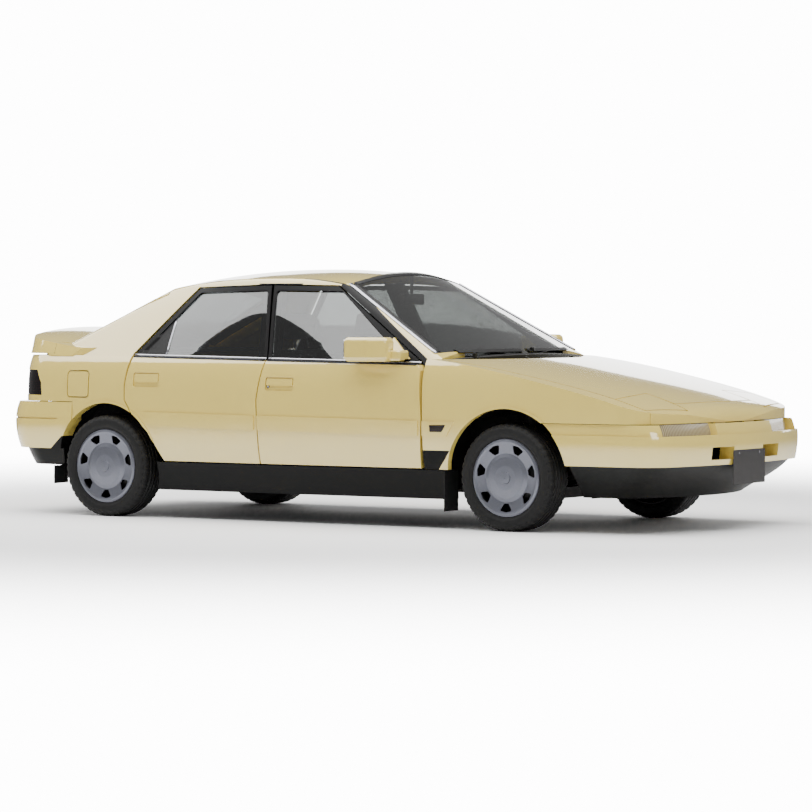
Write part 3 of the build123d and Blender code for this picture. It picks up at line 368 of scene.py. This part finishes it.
# Door mirrors: body-coloured shells with a convex silvered glass set in the face that looks back.
mirror_glass, spot = new_finish("silvered_mirror_glass")
film = add(mirror_glass, "ShaderNodeTexNoise", {"Vector": spot, "Scale": 20.0, "Detail": 2.0})
rough = add(mirror_glass, "ShaderNodeMapRange", {"Value": film.outputs["Fac"], "To Min": 0.02, "To Max": 0.05})
add(mirror_glass, "Principled BSDF", {"Base Color": lin("C9CDD2"), "Metallic": 1.0, "Roughness": rough.outputs[0]})
for side, s in SIDES:
    outline = []
    for cy, cz, start in ((0.800, 0.938, 90), (0.800, 0.862, 180), (0.896, 0.862, 270), (0.896, 0.938, 0)):
        for k in range(5):
            turn = math.radians(start + k * 22.5)
            outline.append((cy + 0.012 * math.cos(turn), cz + 0.012 * math.sin(turn)))
    count = len(outline)
    verts = [(0.2735, s * y, z) for y, z in outline] + [(0.2712, s * y, z) for y, z in outline]
    verts += [(0.2712 - 0.0015, s * (0.848 + (y - 0.848) * 0.5), 0.9 + (z - 0.9) * 0.5) for y, z in outline]
    faces = [tuple(range(count)), tuple(range(2 * count, 3 * count))]
    faces += [(j * count + k, j * count + (k + 1) % count, (j + 1) * count + (k + 1) % count, (j + 1) * count + k)
              for j in range(2) for k in range(count)]
    piece("mirror_glass_" + side, verts, faces, mirror_glass, "door_front_" + side)

# Window glass: toughened side and rear panes and a laminated screen, with a grey-bronze tint in the melt.


def pane(name, tint):
    """Float glass: flat and clear, with a breath of film that dulls the mirror a little."""
    finish, spot = new_finish(name)
    film = add(finish, "ShaderNodeTexNoise", {"Vector": spot, "Scale": 5.0, "Detail": 3.0})
    rough = add(finish, "ShaderNodeMapRange", {"Value": film.outputs["Fac"], "To Min": 0.0, "To Max": 0.02})
    add(finish, "Principled BSDF", {"Base Color": lin(tint), "Roughness": rough.outputs[0], "IOR": 1.6,
                                    "Transmission Weight": 1.0, "Coat Weight": 0.6, "Coat Roughness": 0.01})
    return finish


dress(["glass_front_right", "glass_front_left", "glass_rear_right", "glass_rear_left"],
      pane("tinted_side_glass", "858988"))
dress(["hatch_glass"], pane("heated_rear_glass", "6E7272"))
dress(["windscreen"], pane("laminated_screen_glass", "989B99"))

# Tailgate: pressed panel with the spoiler moulded on, a bonded glass in a rubber seal and a wiper.
dress(["hatch"], enamel("tailgate_enamel", outside=(-0.55, 0, 0.83)))
ring = (between((-1.205, -0.485, 0), (-1.205, 0.485, 0), 18)
        + between((-1.225, 0.503, 0), (-1.655, 0.586, 0), 14)
        + between((-1.675, 0.57, 0), (-1.675, -0.57, 0), 20)
        + between((-1.655, -0.586, 0), (-1.225, -0.503, 0), 14))
strip("rear_glass_seal", [touch(["hatch", "hatch_glass"], (p.x, p.y, 2), down) for p in ring],
      0.014, 0.004, seal, "hatch", loop=True)

# Black mouldings: injection-moulded polypropylene, clipped or screwed on, greyed a little by the sun. Its
# leather grain is about a millimetre wide.
moulded, spot = new_finish("grained_polypropylene")
grain = add(moulded, "ShaderNodeTexVoronoi", {"Vector": spot, "Scale": 700.0})
dust = add(moulded, "ShaderNodeTexNoise", {"Vector": spot, "Scale": 9.0, "Detail": 5.0})
shade = add(moulded, "ShaderNodeMix", {"Factor": dust.outputs["Fac"], "A": lin("0A0A0A"), "B": lin("161615")},
            data_type="RGBA")
dent = add(moulded, "ShaderNodeBump", {"Height": grain.outputs["Distance"], "Strength": 0.25, "Distance": 0.0003})
add(moulded, "Principled BSDF", {"Base Color": shade.outputs["Result"], "Roughness": 0.5, "IOR": 1.49,
                                 "Specular IOR Level": 0.25, "Normal": dent.outputs["Normal"]})
dress(["air_dam", "cowl", "wipers", "rear_wiper", "inside_mirror"], moulded)

# Fender inserts: dark blank lenses let into the front end of the side moulding.
insert, spot = new_finish("smoked_insert_lens")
rib = add(insert, "ShaderNodeTexWave", {"Vector": spot, "Scale": 60.0}, bands_direction="X")
shade = add(insert, "ShaderNodeMix", {"Factor": rib.outputs["Fac"], "A": lin("0A0706"), "B": lin("22160C")},
            data_type="RGBA")
add(insert, "Principled BSDF", {"Base Color": shade.outputs["Result"], "Roughness": 0.15})
for side, s in SIDES:
    corners = [(0.739, 0.489), (0.807, 0.490), (0.831, 0.525), (0.736, 0.523)]
    steps, verts, faces = 6, [], []
    for lift in (0.0022, -0.0015):
        for j in range(3):
            for i in range(steps + 1):
                low = Vector((*corners[0], 0)).lerp(Vector((*corners[1], 0)), i / steps)
                high = Vector((*corners[3], 0)).lerp(Vector((*corners[2], 0)), i / steps)
                at = low.lerp(high, j / 2)
                hit = touch(["front_fenders"], (at.x, s * 1.2, at.y), (0, -s, 0))
                verts.append(hit[0] + Vector((0, s * lift, 0)))
    row, top = steps + 1, 3 * (steps + 1)
    for j in range(2):
        for i in range(steps):
            quad = (j * row + i, j * row + i + 1, (j + 1) * row + i + 1, (j + 1) * row + i)
            faces += [quad, tuple(top + v for v in reversed(quad))]
    rim = list(range(row)) + [2 * row - 1] + list(range(3 * row - 1, 2 * row - 1, -1)) + [row]
    faces += [(a, a + top, b + top, b) for a, b in zip(rim, rim[1:] + rim[:1])]
    piece("moulding_insert_" + side, verts, faces, insert, "body", smooth=False)

# Bonnet and lamp lids: pressed panels in the body's enamel; under each lid hangs a black lamp pod.
dress(["bonnet"], enamel("bonnet_enamel", outside=(0, 0, 1)))
dress(["headlamp_right", "headlamp_left"], enamel("lamp_lid_enamel", outside=(-0.2, 0, 0.6)))

# Washer jets: small black nozzles pressed into the bonnet, repeated by one node tree.
jets = bpy.data.node_groups.new("round_heads", "GeometryNodeTree")
jets.interface.new_socket("Geometry", in_out="INPUT", socket_type="NodeSocketGeometry")
for label, kind in (("Radius", "NodeSocketFloat"), ("Height", "NodeSocketFloat"),
                    ("Lean", "NodeSocketVector"), ("Finish", "NodeSocketMaterial")):
    jets.interface.new_socket(label, in_out="INPUT", socket_type=kind)
jets.interface.new_socket("Geometry", in_out="OUTPUT", socket_type="NodeSocketGeometry")
tree = type("Tree", (), {"node_tree": jets})
given = add(tree, "NodeGroupInput")
head = add(tree, "GeometryNodeMeshCylinder", {"Vertices": 20, "Radius": given.outputs["Radius"],
                                               "Depth": given.outputs["Height"]})
set_on = add(tree, "GeometryNodeInstanceOnPoints", {
    "Points": given.outputs["Geometry"], "Instance": head.outputs["Mesh"], "Rotation": given.outputs["Lean"]})
plain = add(tree, "GeometryNodeRealizeInstances", {0: set_on.outputs[0]})
coloured = add(tree, "GeometryNodeSetMaterial", {"Geometry": plain.outputs[0],
                                                 "Material": given.outputs["Finish"]})
add(tree, "NodeGroupOutput", {0: coloured.outputs[0]})


def heads(name, points, radius, height, lean, finish, body):
    """Round heads standing on points of one body, made by the node tree and kept as a plain mesh."""
    mesh = bpy.data.meshes.new(name)
    mesh.from_pydata(points, [], [])
    seed = bpy.data.objects.new(name + "_points", mesh)
    bpy.context.scene.collection.objects.link(seed)
    made_by = seed.modifiers.new("heads", "NODES")
    made_by.node_group = jets
    for item in jets.interface.items_tree:
        value = {"Radius": radius, "Height": height, "Lean": lean, "Finish": finish}.get(item.name)
        if value is not None and item.in_out == "INPUT":
            made_by[item.identifier] = value
    done = bpy.data.meshes.new_from_object(seed.evaluated_get(bpy.context.evaluated_depsgraph_get()))
    bpy.data.objects.remove(seed)
    made = bpy.data.objects.new(name, done)
    bpy.context.scene.collection.objects.link(made)
    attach(made, body)
    return made


heads("washer_jets", [touch(["bonnet"], (0.94, y, 2), down)[0] for y in (-0.22, 0.22)], 0.010, 0.012,
      (0, 0.17, 0), moulded, "bonnet")

# Wiper arms: pressed steel levers sprayed black, each on a splined spindle through the cowl and sprung
# down on the middle of its blade.
for label, foot_y, heel_y, tip_y in (("right", -0.500, -0.440, -0.290), ("left", 0.055, 0.120, 0.270)):
    seat = touch(["cowl", "bonnet", "windscreen"], (0.800, foot_y, 2), down)[0]
    top = Vector((seat.x, seat.y, seat.z + 0.016))
    line = [top] + between((0.760, heel_y, seat.z + 0.018), (0.700, tip_y, 0.904), 6)
    verts, faces = [], []
    for k, at in enumerate(line):
        ahead = (line[min(k + 1, len(line) - 1)] - line[max(k - 1, 0)]).normalized()
        across = ahead.cross(Vector((0, 0, 1))).normalized() * (0.011 - 0.0011 * k)
        for u, h in ((-1, -0.004), (-1, 0.002), (-0.5, 0.005), (0.5, 0.005), (1, 0.002), (1, -0.004)):
            verts.append(at + across * u + Vector((0, 0, h)))
    for k in range(len(line) - 1):
        faces += [(6 * k + j, 6 * k + (j + 1) % 6, 6 * k + 6 + (j + 1) % 6, 6 * k + 6 + j) for j in range(6)]
    faces += [tuple(range(6)), tuple(range(6 * len(line) - 6, 6 * len(line)))]
    piece("wiper_arm_" + label, verts, faces, moulded, "body", smooth=False)
    heads("wiper_spindle_" + label, [seat + Vector((0, 0, 0.009))], 0.012, 0.022, (0, 0, 0), moulded, "body")

# Bumpers: body-coloured polypropylene over a beam; the rear one ends in a black valance.
dress(["rear_bumper"], enamel("bumper_enamel", [[(0, -1, -0.352)], [(0.62, -0.78, -1.342), (0, -1, -0.42)]]))

# Turn lamps: clear acrylic with fine flutes moulded inside, over a dull reflector.
lens, spot = new_finish("fluted_acrylic_lens")
flute = add(lens, "ShaderNodeTexWave", {"Vector": spot, "Scale": 30.0}, bands_direction="Y")
dent = add(lens, "ShaderNodeBump", {"Height": flute.outputs["Fac"], "Strength": 0.6, "Distance": 0.002})
shade = add(lens, "ShaderNodeMix", {"Factor": flute.outputs["Fac"], "A": lin("7A7058"), "B": lin("AFA283")},
            data_type="RGBA")
add(lens, "Principled BSDF", {"Base Color": shade.outputs["Result"], "Roughness": 0.1, "Coat Weight": 0.5,
                              "Normal": dent.outputs["Normal"]})
dress(["front_lamps"], lens)

# Tail lamps: smoked acrylic over red and amber chambers, nearly black when unlit.
smoke, spot = new_finish("smoked_acrylic")
rib = add(smoke, "ShaderNodeTexWave", {"Vector": spot, "Scale": 25.0}, bands_direction="Z")
shade = add(smoke, "ShaderNodeMix", {"Factor": rib.outputs["Fac"], "A": lin("050303"), "B": lin("120708")},
            data_type="RGBA")
add(smoke, "Principled BSDF", {"Base Color": shade.outputs["Result"], "Roughness": 0.1})
dress(["tail_lamps"], smoke)

# Number plate carrier: a blank dark plate held by two screws on the bumper's flat.
blank, spot = new_finish("blank_plate_enamel")
mark = add(blank, "ShaderNodeTexNoise", {"Vector": spot, "Scale": 25.0, "Detail": 5.0})
shade = add(blank, "ShaderNodeMix", {"Factor": mark.outputs["Fac"], "A": lin("1A1818"), "B": lin("242121")},
            data_type="RGBA")
add(blank, "Principled BSDF", {"Base Color": shade.outputs["Result"], "Roughness": 0.5})
outline, verts = [], []
for cy, cz, start in ((0.157, 0.397, 0), (-0.157, 0.397, 90), (-0.157, 0.243, 180), (0.157, 0.243, 270)):
    for k in range(5):
        turn = math.radians(start + k * 22.5)
        outline.append((cy + 0.008 * math.cos(turn), cz + 0.008 * math.sin(turn)))
for x in (2.1060, 2.1078):
    verts += [(x, y, z) for y, z in outline]
count = len(outline)
plate_faces = [tuple(range(count)), tuple(range(count, 2 * count))] + [
    (k, (k + 1) % count, (k + 1) % count + count, k + count) for k in range(count)]
piece("front_plate", verts, plate_faces, blank, "body", smooth=False)

FORWARD = (0, math.pi / 2, 0)
heads("plate_screws", [(2.1083, y, 0.388) for y in (-0.105, 0.105)], 0.006, 0.002, FORWARD, stainless,
      "body")
lamp_ends = [touch(["front_lamps"], (2.6, s * 0.662, 0.5135), (-1, 0, 0)) for _, s in SIDES]
heads("lamp_screws", [hit[0] for hit in lamp_ends if hit], 0.006, 0.004, FORWARD, stainless, "body")

# Wheels: steel rims with a pressed cover, sprayed aluminium silver outside; inboard of the cover's face all is near
# black, the rim's own black with painted shade of the wheel's inside.
silver, spot = new_finish("aluminium_flake_lacquer")
apart = add(silver, "ShaderNodeSeparateXYZ", {0: spot})
wide = add(silver, "ShaderNodeMath", {0: apart.outputs["Y"]}, operation="ABSOLUTE")
face = add(silver, "ShaderNodeMath", {0: wide.outputs[0], 1: 900.0, 2: -900.0 * 0.783}, operation="MULTIPLY_ADD",
           use_clamp=True)
flake = add(silver, "ShaderNodeTexNoise", {"Vector": spot, "Scale": 900.0, "Detail": 1.0})
bright = add(silver, "ShaderNodeMix", {"Factor": flake.outputs["Fac"], "A": lin("5E6069"), "B": lin("7E808A")},
             data_type="RGBA")
# Inboard of the face the colour is near black: the black rim plus painted shade inside the wheel
shade = add(silver, "ShaderNodeMix", {"Factor": face.outputs[0], "A": lin("0B0B0C"), "B": bright.outputs["Result"]},
            data_type="RGBA")
metal = add(silver, "ShaderNodeMath", {0: face.outputs[0], 1: 0.7}, operation="MULTIPLY")
add(silver, "Principled BSDF", {"Base Color": shade.outputs["Result"], "Metallic": metal.outputs[0],
                                "Roughness": 0.36, "Specular IOR Level": 0.3})
dress(["wheel_front_right", "wheel_front_left", "wheel_rear_right", "wheel_rear_left"], silver)

# Tyres: moulded rubber with four rain grooves, sipes cut across the shoulders and a rubbed bead ring.
rubber, spot = new_finish("tyre_rubber")
bloom = add(rubber, "ShaderNodeTexNoise", {"Vector": spot, "Scale": 40.0, "Detail": 6.0})
shade = add(rubber, "ShaderNodeMix", {"Factor": bloom.outputs["Fac"], "A": lin("080808"), "B": lin("141414")},
            data_type="RGBA")
dent = add(rubber, "ShaderNodeBump", {"Height": bloom.outputs["Fac"], "Strength": 0.2, "Distance": 0.0006})
add(rubber, "Principled BSDF", {"Base Color": shade.outputs["Result"], "Roughness": 0.65, "Specular IOR Level": 0.3,
                                "Normal": dent.outputs["Normal"]})
dress(["mud_flaps"], rubber)
TYRE, HALF, BEAD, GROOVE = 0.268, 0.0925, 0.1945, 0.007
half_section = [(BEAD, 0.062), (BEAD, HALF - 0.0135), (BEAD + 0.006, HALF - 0.0075),
                (BEAD + 0.009, HALF - 0.0078), (BEAD + 0.014, HALF - 0.0022), (BEAD + 0.024, HALF - 0.0008),
                (BEAD + 0.034, HALF),
                (BEAD + 0.046, HALF - 0.0012), (TYRE - 0.017, HALF - 0.0035), (TYRE - 0.0155, HALF - 0.0058),
                (TYRE - 0.006, HALF - 0.012), (TYRE - 0.0025, HALF - 0.019), (TYRE, HALF - 0.030)]
for edge in (0.046, 0.018):
    half_section += [(TYRE, edge), (TYRE - GROOVE, edge - 0.001), (TYRE - GROOVE, edge - 0.006),
                     (TYRE, edge - 0.007)]
section = half_section + [(r, -y) for r, y in reversed(half_section)]
STEPS, SIPE = 168, 4
for where, axle in (("front", 1.170), ("rear", -1.330)):
    for side, s in SIDES:
        verts, faces = [], []
        for i in range(STEPS):
            turn = 2 * math.pi * i / STEPS
            for r, y in section:
                cut = i % SIPE == 0 and abs(y) > 0.046 and r > TYRE - 0.016
                r = r - 0.005 if cut else r
                verts.append((axle + r * math.cos(turn), s * (0.715 + y), 0.268 + r * math.sin(turn)))
        n = len(section)
        for i in range(STEPS):
            for k in range(n):
                a, b = i * n + k, i * n + (k + 1) % n
                c, d = (i + 1) % STEPS * n + (k + 1) % n, (i + 1) % STEPS * n + k
                faces.append((a, b, c, d))
        name = "tyre_" + where + "_" + side
        tyre = piece("moulded_" + name, verts, faces, rubber, "wheel_" + where + "_" + side)
        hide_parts(name)

# Cabin: vinyl-skinned foam dashboard and wheel, and a carpeted shelf that is dressed here in the same vinyl.
vinyl, spot = new_finish("grained_vinyl")
grain = add(vinyl, "ShaderNodeTexVoronoi", {"Vector": spot, "Scale": 500.0})
tone = add(vinyl, "ShaderNodeTexNoise", {"Vector": spot, "Scale": 4.0, "Detail": 3.0})
shade = add(vinyl, "ShaderNodeMix", {"Factor": tone.outputs["Fac"], "A": lin("1B1B1C"), "B": lin("262627")},
            data_type="RGBA")
dent = add(vinyl, "ShaderNodeBump", {"Height": grain.outputs["Distance"], "Strength": 0.3, "Distance": 0.0004})
add(vinyl, "Principled BSDF", {"Base Color": shade.outputs["Result"], "Roughness": 0.6, "Specular IOR Level": 0.3,
                               "Normal": dent.outputs["Normal"]})
dress(["dashboard", "steering_wheel", "parcel_shelf"], vinyl)

# Front seats: moulded foam buns in sewn covers, woven in the middle and darker at the bolsters. Each sits on
# two steel runners bolted to the floor and carries a head pad on two plated posts.
cloth, spot = new_finish("woven_seat_cloth")
# Threads 3 mm apart in three directions, so the weave shows on every face of a pad
weave = add(cloth, "ShaderNodeTexVoronoi", {"Vector": spot, "Scale": 330.0, "Randomness": 0.12},
            distance="CHEBYCHEV")
fade = add(cloth, "ShaderNodeTexNoise", {"Vector": spot, "Scale": 7.0, "Detail": 4.0})
panel = add(cloth, "ShaderNodeMix", {"Factor": weave.outputs["Distance"], "A": lin("37363A"), "B": lin("57565A")},
            data_type="RGBA")
bolster = add(cloth, "ShaderNodeMix", {"Factor": fade.outputs["Fac"], "A": lin("1D1C1E"), "B": lin("29282A")},
              data_type="RGBA")
apart = add(cloth, "ShaderNodeSeparateXYZ", {0: spot})
wide = add(cloth, "ShaderNodeMath", {0: apart.outputs["Y"]}, operation="ABSOLUTE")
off = add(cloth, "ShaderNodeMath", {0: wide.outputs[0], 1: 0.355}, operation="SUBTRACT")
off = add(cloth, "ShaderNodeMath", {0: off.outputs[0]}, operation="ABSOLUTE", name="off_centre")
edge = add(cloth, "ShaderNodeMath", {0: off.outputs[0], 1: 400.0, 2: -60.0}, operation="MULTIPLY_ADD",
           use_clamp=True, name="bolster_edge")
shade = add(cloth, "ShaderNodeMix", {"Factor": edge.outputs[0], "A": panel.outputs["Result"],
                                     "B": bolster.outputs["Result"]}, data_type="RGBA", name="panel_or_bolster")
dent = add(cloth, "ShaderNodeBump", {"Height": weave.outputs["Distance"], "Strength": 0.5, "Distance": 0.001})
add(cloth, "Principled BSDF", {"Base Color": shade.outputs["Result"], "Roughness": 0.9, "Sheen Weight": 0.3,
                               "Normal": dent.outputs["Normal"]})


def foam(name, section, y0, y1, voxel, cap, grooves, rest):
    """A stuffed pad: a side section drawn across in Y, blown up by cloth simulation and sewn down.
    grooves are (axis, place, facing), and rest is the height that the pad lies on and stays flat at."""
    count = len(section)
    start = bpy.data.meshes.new(name)
    start.from_pydata([(x, y, z) for y in (y0, y1) for x, z in section], [],
                      [tuple(range(count)), tuple(range(2 * count - 1, count - 1, -1))]
                      + [(k, k + count, (k + 1) % count + count, (k + 1) % count) for k in range(count)])
    form = bmesh.new()
    form.from_mesh(start)
    bmesh.ops.recalc_face_normals(form, faces=form.faces)
    form.to_mesh(start)
    form.free()
    pad = bpy.data.objects.new(name, start)
    bpy.context.scene.collection.objects.link(pad)
    round_off = pad.modifiers.new("round_off", "BEVEL")
    round_off.width, round_off.segments = 0.022, 3
    even = pad.modifiers.new("even", "REMESH")
    even.mode, even.voxel_size = "VOXEL", voxel
    skin = bpy.data.meshes.new_from_object(pad.evaluated_get(bpy.context.evaluated_depsgraph_get()))
    pad.modifiers.clear()
    pad.data = skin
    before = [v.co.copy() for v in skin.vertices]
    blow = pad.modifiers.new("blow", "CLOTH")
    blow.settings.quality = 4
    blow.settings.use_pressure = True
    blow.settings.uniform_pressure_force = 4
    blow.settings.effector_weights.gravity = 0
    blow.point_cache.frame_start, blow.point_cache.frame_end = 1, 20
    for step in range(1, 21):
        bpy.context.scene.frame_set(step)
    blown = bpy.data.meshes.new_from_object(pad.evaluated_get(bpy.context.evaluated_depsgraph_get()))
    pad.modifiers.clear()
    pad.data = blown
    bpy.context.scene.frame_set(1)
    for v, old in zip(blown.vertices, before):
        move = v.co - old
        if old.z < rest + 0.012:
            move *= 0.1
        v.co = old + (move * (cap / move.length) if move.length > cap else move)
    finer = pad.modifiers.new("finer", "SUBSURF")
    finer.levels = finer.render_levels = 1
    fine = bpy.data.meshes.new_from_object(pad.evaluated_get(bpy.context.evaluated_depsgraph_get()))
    pad.modifiers.clear()
    pad.data = fine
    for v in fine.vertices:
        sink = 0
        for axis, place, facing in grooves:
            if v.normal.dot(Vector(facing)) > 0.5:
                sink = max(sink, 0.009 * math.exp(-((v.co[axis] - place) / 0.007) ** 2))
        v.co -= v.normal * sink
    fine.polygons.foreach_set("use_smooth", [True] * len(fine.polygons))
    fine.materials.append(cloth)
    return pad


def fit(pad, node, shift=0.0):
    """A sewn pad, or its twin moved across the car, put in the place of its CAD node."""
    if shift:
        pad = pad.copy()
        pad.data = pad.data.copy()
        bpy.context.scene.collection.objects.link(pad)
        for v in pad.data.vertices:
            v.co.y += shift
        pad.name = pad.name.split(".")[0] + "_twin"
    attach(pad, "body")
    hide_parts(node)


UP, FORE = (0, 0, 1), (0.96, 0, 0.28)
seat_y = 0.355
cushion = foam("front_cushion",
               [(-0.225, 0.312), (0.235, 0.312), (0.238, 0.385), (0.190, 0.407), (-0.225, 0.395)],
               -seat_y - 0.225, -seat_y + 0.225, 0.011, 0.022,
               [(1, y, UP) for y in (-seat_y - 0.15, -seat_y + 0.15)] + [(0, x, UP) for x in (-0.06, 0.07, 0.17)],
               0.312)
squab = foam("front_squab",
             [(-0.243, 0.40), (-0.168, 0.415), (-0.305, 0.880), (-0.345, 0.915), (-0.388, 0.890)],
             -seat_y - 0.22, -seat_y + 0.22, 0.011, 0.022,
             [(1, y, FORE) for y in (-seat_y - 0.15, -seat_y + 0.15)] + [(2, z, FORE) for z in (0.52, 0.64, 0.76)],
             0)
pillow = foam("head_pad",
              [(-0.452, 0.950), (-0.365, 0.940), (-0.345, 1.040), (-0.352, 1.066), (-0.425, 1.080)],
              -seat_y - 0.122, -seat_y + 0.122, 0.010, 0.012, [(2, 1.01, FORE)], 0)
for pad in (cushion, squab, pillow):
    fit(pad, "front_seats", 2 * seat_y)
    fit(pad, "front_seats")

plated, spot = new_finish("zinc_plated_steel")
cloud = add(plated, "ShaderNodeTexNoise", {"Vector": spot, "Scale": 80.0, "Detail": 4.0})
rough = add(plated, "ShaderNodeMapRange", {"Value": cloud.outputs["Fac"], "To Min": 0.28, "To Max": 0.45})
add(plated, "Principled BSDF", {"Base Color": lin("8D8E90"), "Metallic": 1.0, "Roughness": rough.outputs[0]})
for side, s in SIDES:
    for k, off in enumerate((-0.17, 0.17)):
        y = s * seat_y + off
        rail = [(-0.019, 0.2185), (0.019, 0.2185), (0.019, 0.246), (0.013, 0.246), (0.013, 0.224), (-0.013, 0.224),
                (-0.013, 0.246), (-0.019, 0.246)]
        slide = [(-0.011, 0.226), (0.011, 0.226), (0.011, 0.318), (0.004, 0.318), (-0.011, 0.318)]
        for label, section, x0, x1 in (("rail", rail, -0.22, 0.22), ("slide", slide, -0.205, 0.205)):
            n = len(section)
            verts = [(x, y + dy, z) for x in (x0, x1) for dy, z in section]
            faces = [tuple(range(n)), tuple(range(n, 2 * n))] + [(j, (j + 1) % n, (j + 1) % n + n, j + n)
                                                                for j in range(n)]
            piece("seat_%s_%s_%d" % (label, side, k), verts, faces, plated, "body", smooth=False)
    heads("head_pad_posts_" + side, [(-0.375, s * seat_y + d, 0.935) for d in (-0.06, 0.06)], 0.007, 0.085,
          (0, -0.21, 0), plated, "body")

# Rear bench: one wide foam bun in the same cloth on the floor's step, with its squab behind it, fixed to the body
# though the real one folds.
bench = foam("bench_cushion",
             [(-0.900, 0.318), (-0.572, 0.318), (-0.572, 0.368), (-0.600, 0.388), (-0.900, 0.372)],
             -0.528, 0.528, 0.014, 0.022, [(1, 0.0, UP), (1, -0.36, UP), (1, 0.36, UP), (0, -0.70, UP)], 0.325)
bench_back = foam("bench_squab", [(-0.925, 0.415), (-0.835, 0.415), (-0.990, 0.835), (-1.065, 0.835)],
                  -0.528, 0.528, 0.016, 0.018,
                  [(1, 0.0, FORE), (1, -0.36, FORE), (1, 0.36, FORE), (2, 0.58, FORE)], 0)
for pad in (bench, bench_back):
    fit(pad, "rear_seat")
# Pressed risers carry the bench on both sides of the tunnel
for side, s in SIDES:
    section = [(-0.905, 0.2185), (-0.590, 0.2185), (-0.584, 0.226), (-0.604, 0.320), (-0.612, 0.328),
               (-0.905, 0.328)]
    n = len(section)
    verts = [(x, s * y, z) for y in (0.102, 0.520) for x, z in section]
    faces = [tuple(range(n)), tuple(range(n, 2 * n))] + [(j, (j + 1) % n, (j + 1) % n + n, j + n)
                                                        for j in range(n)]
    piece("bench_riser_" + side, verts, faces, vinyl, "body", smooth=False)
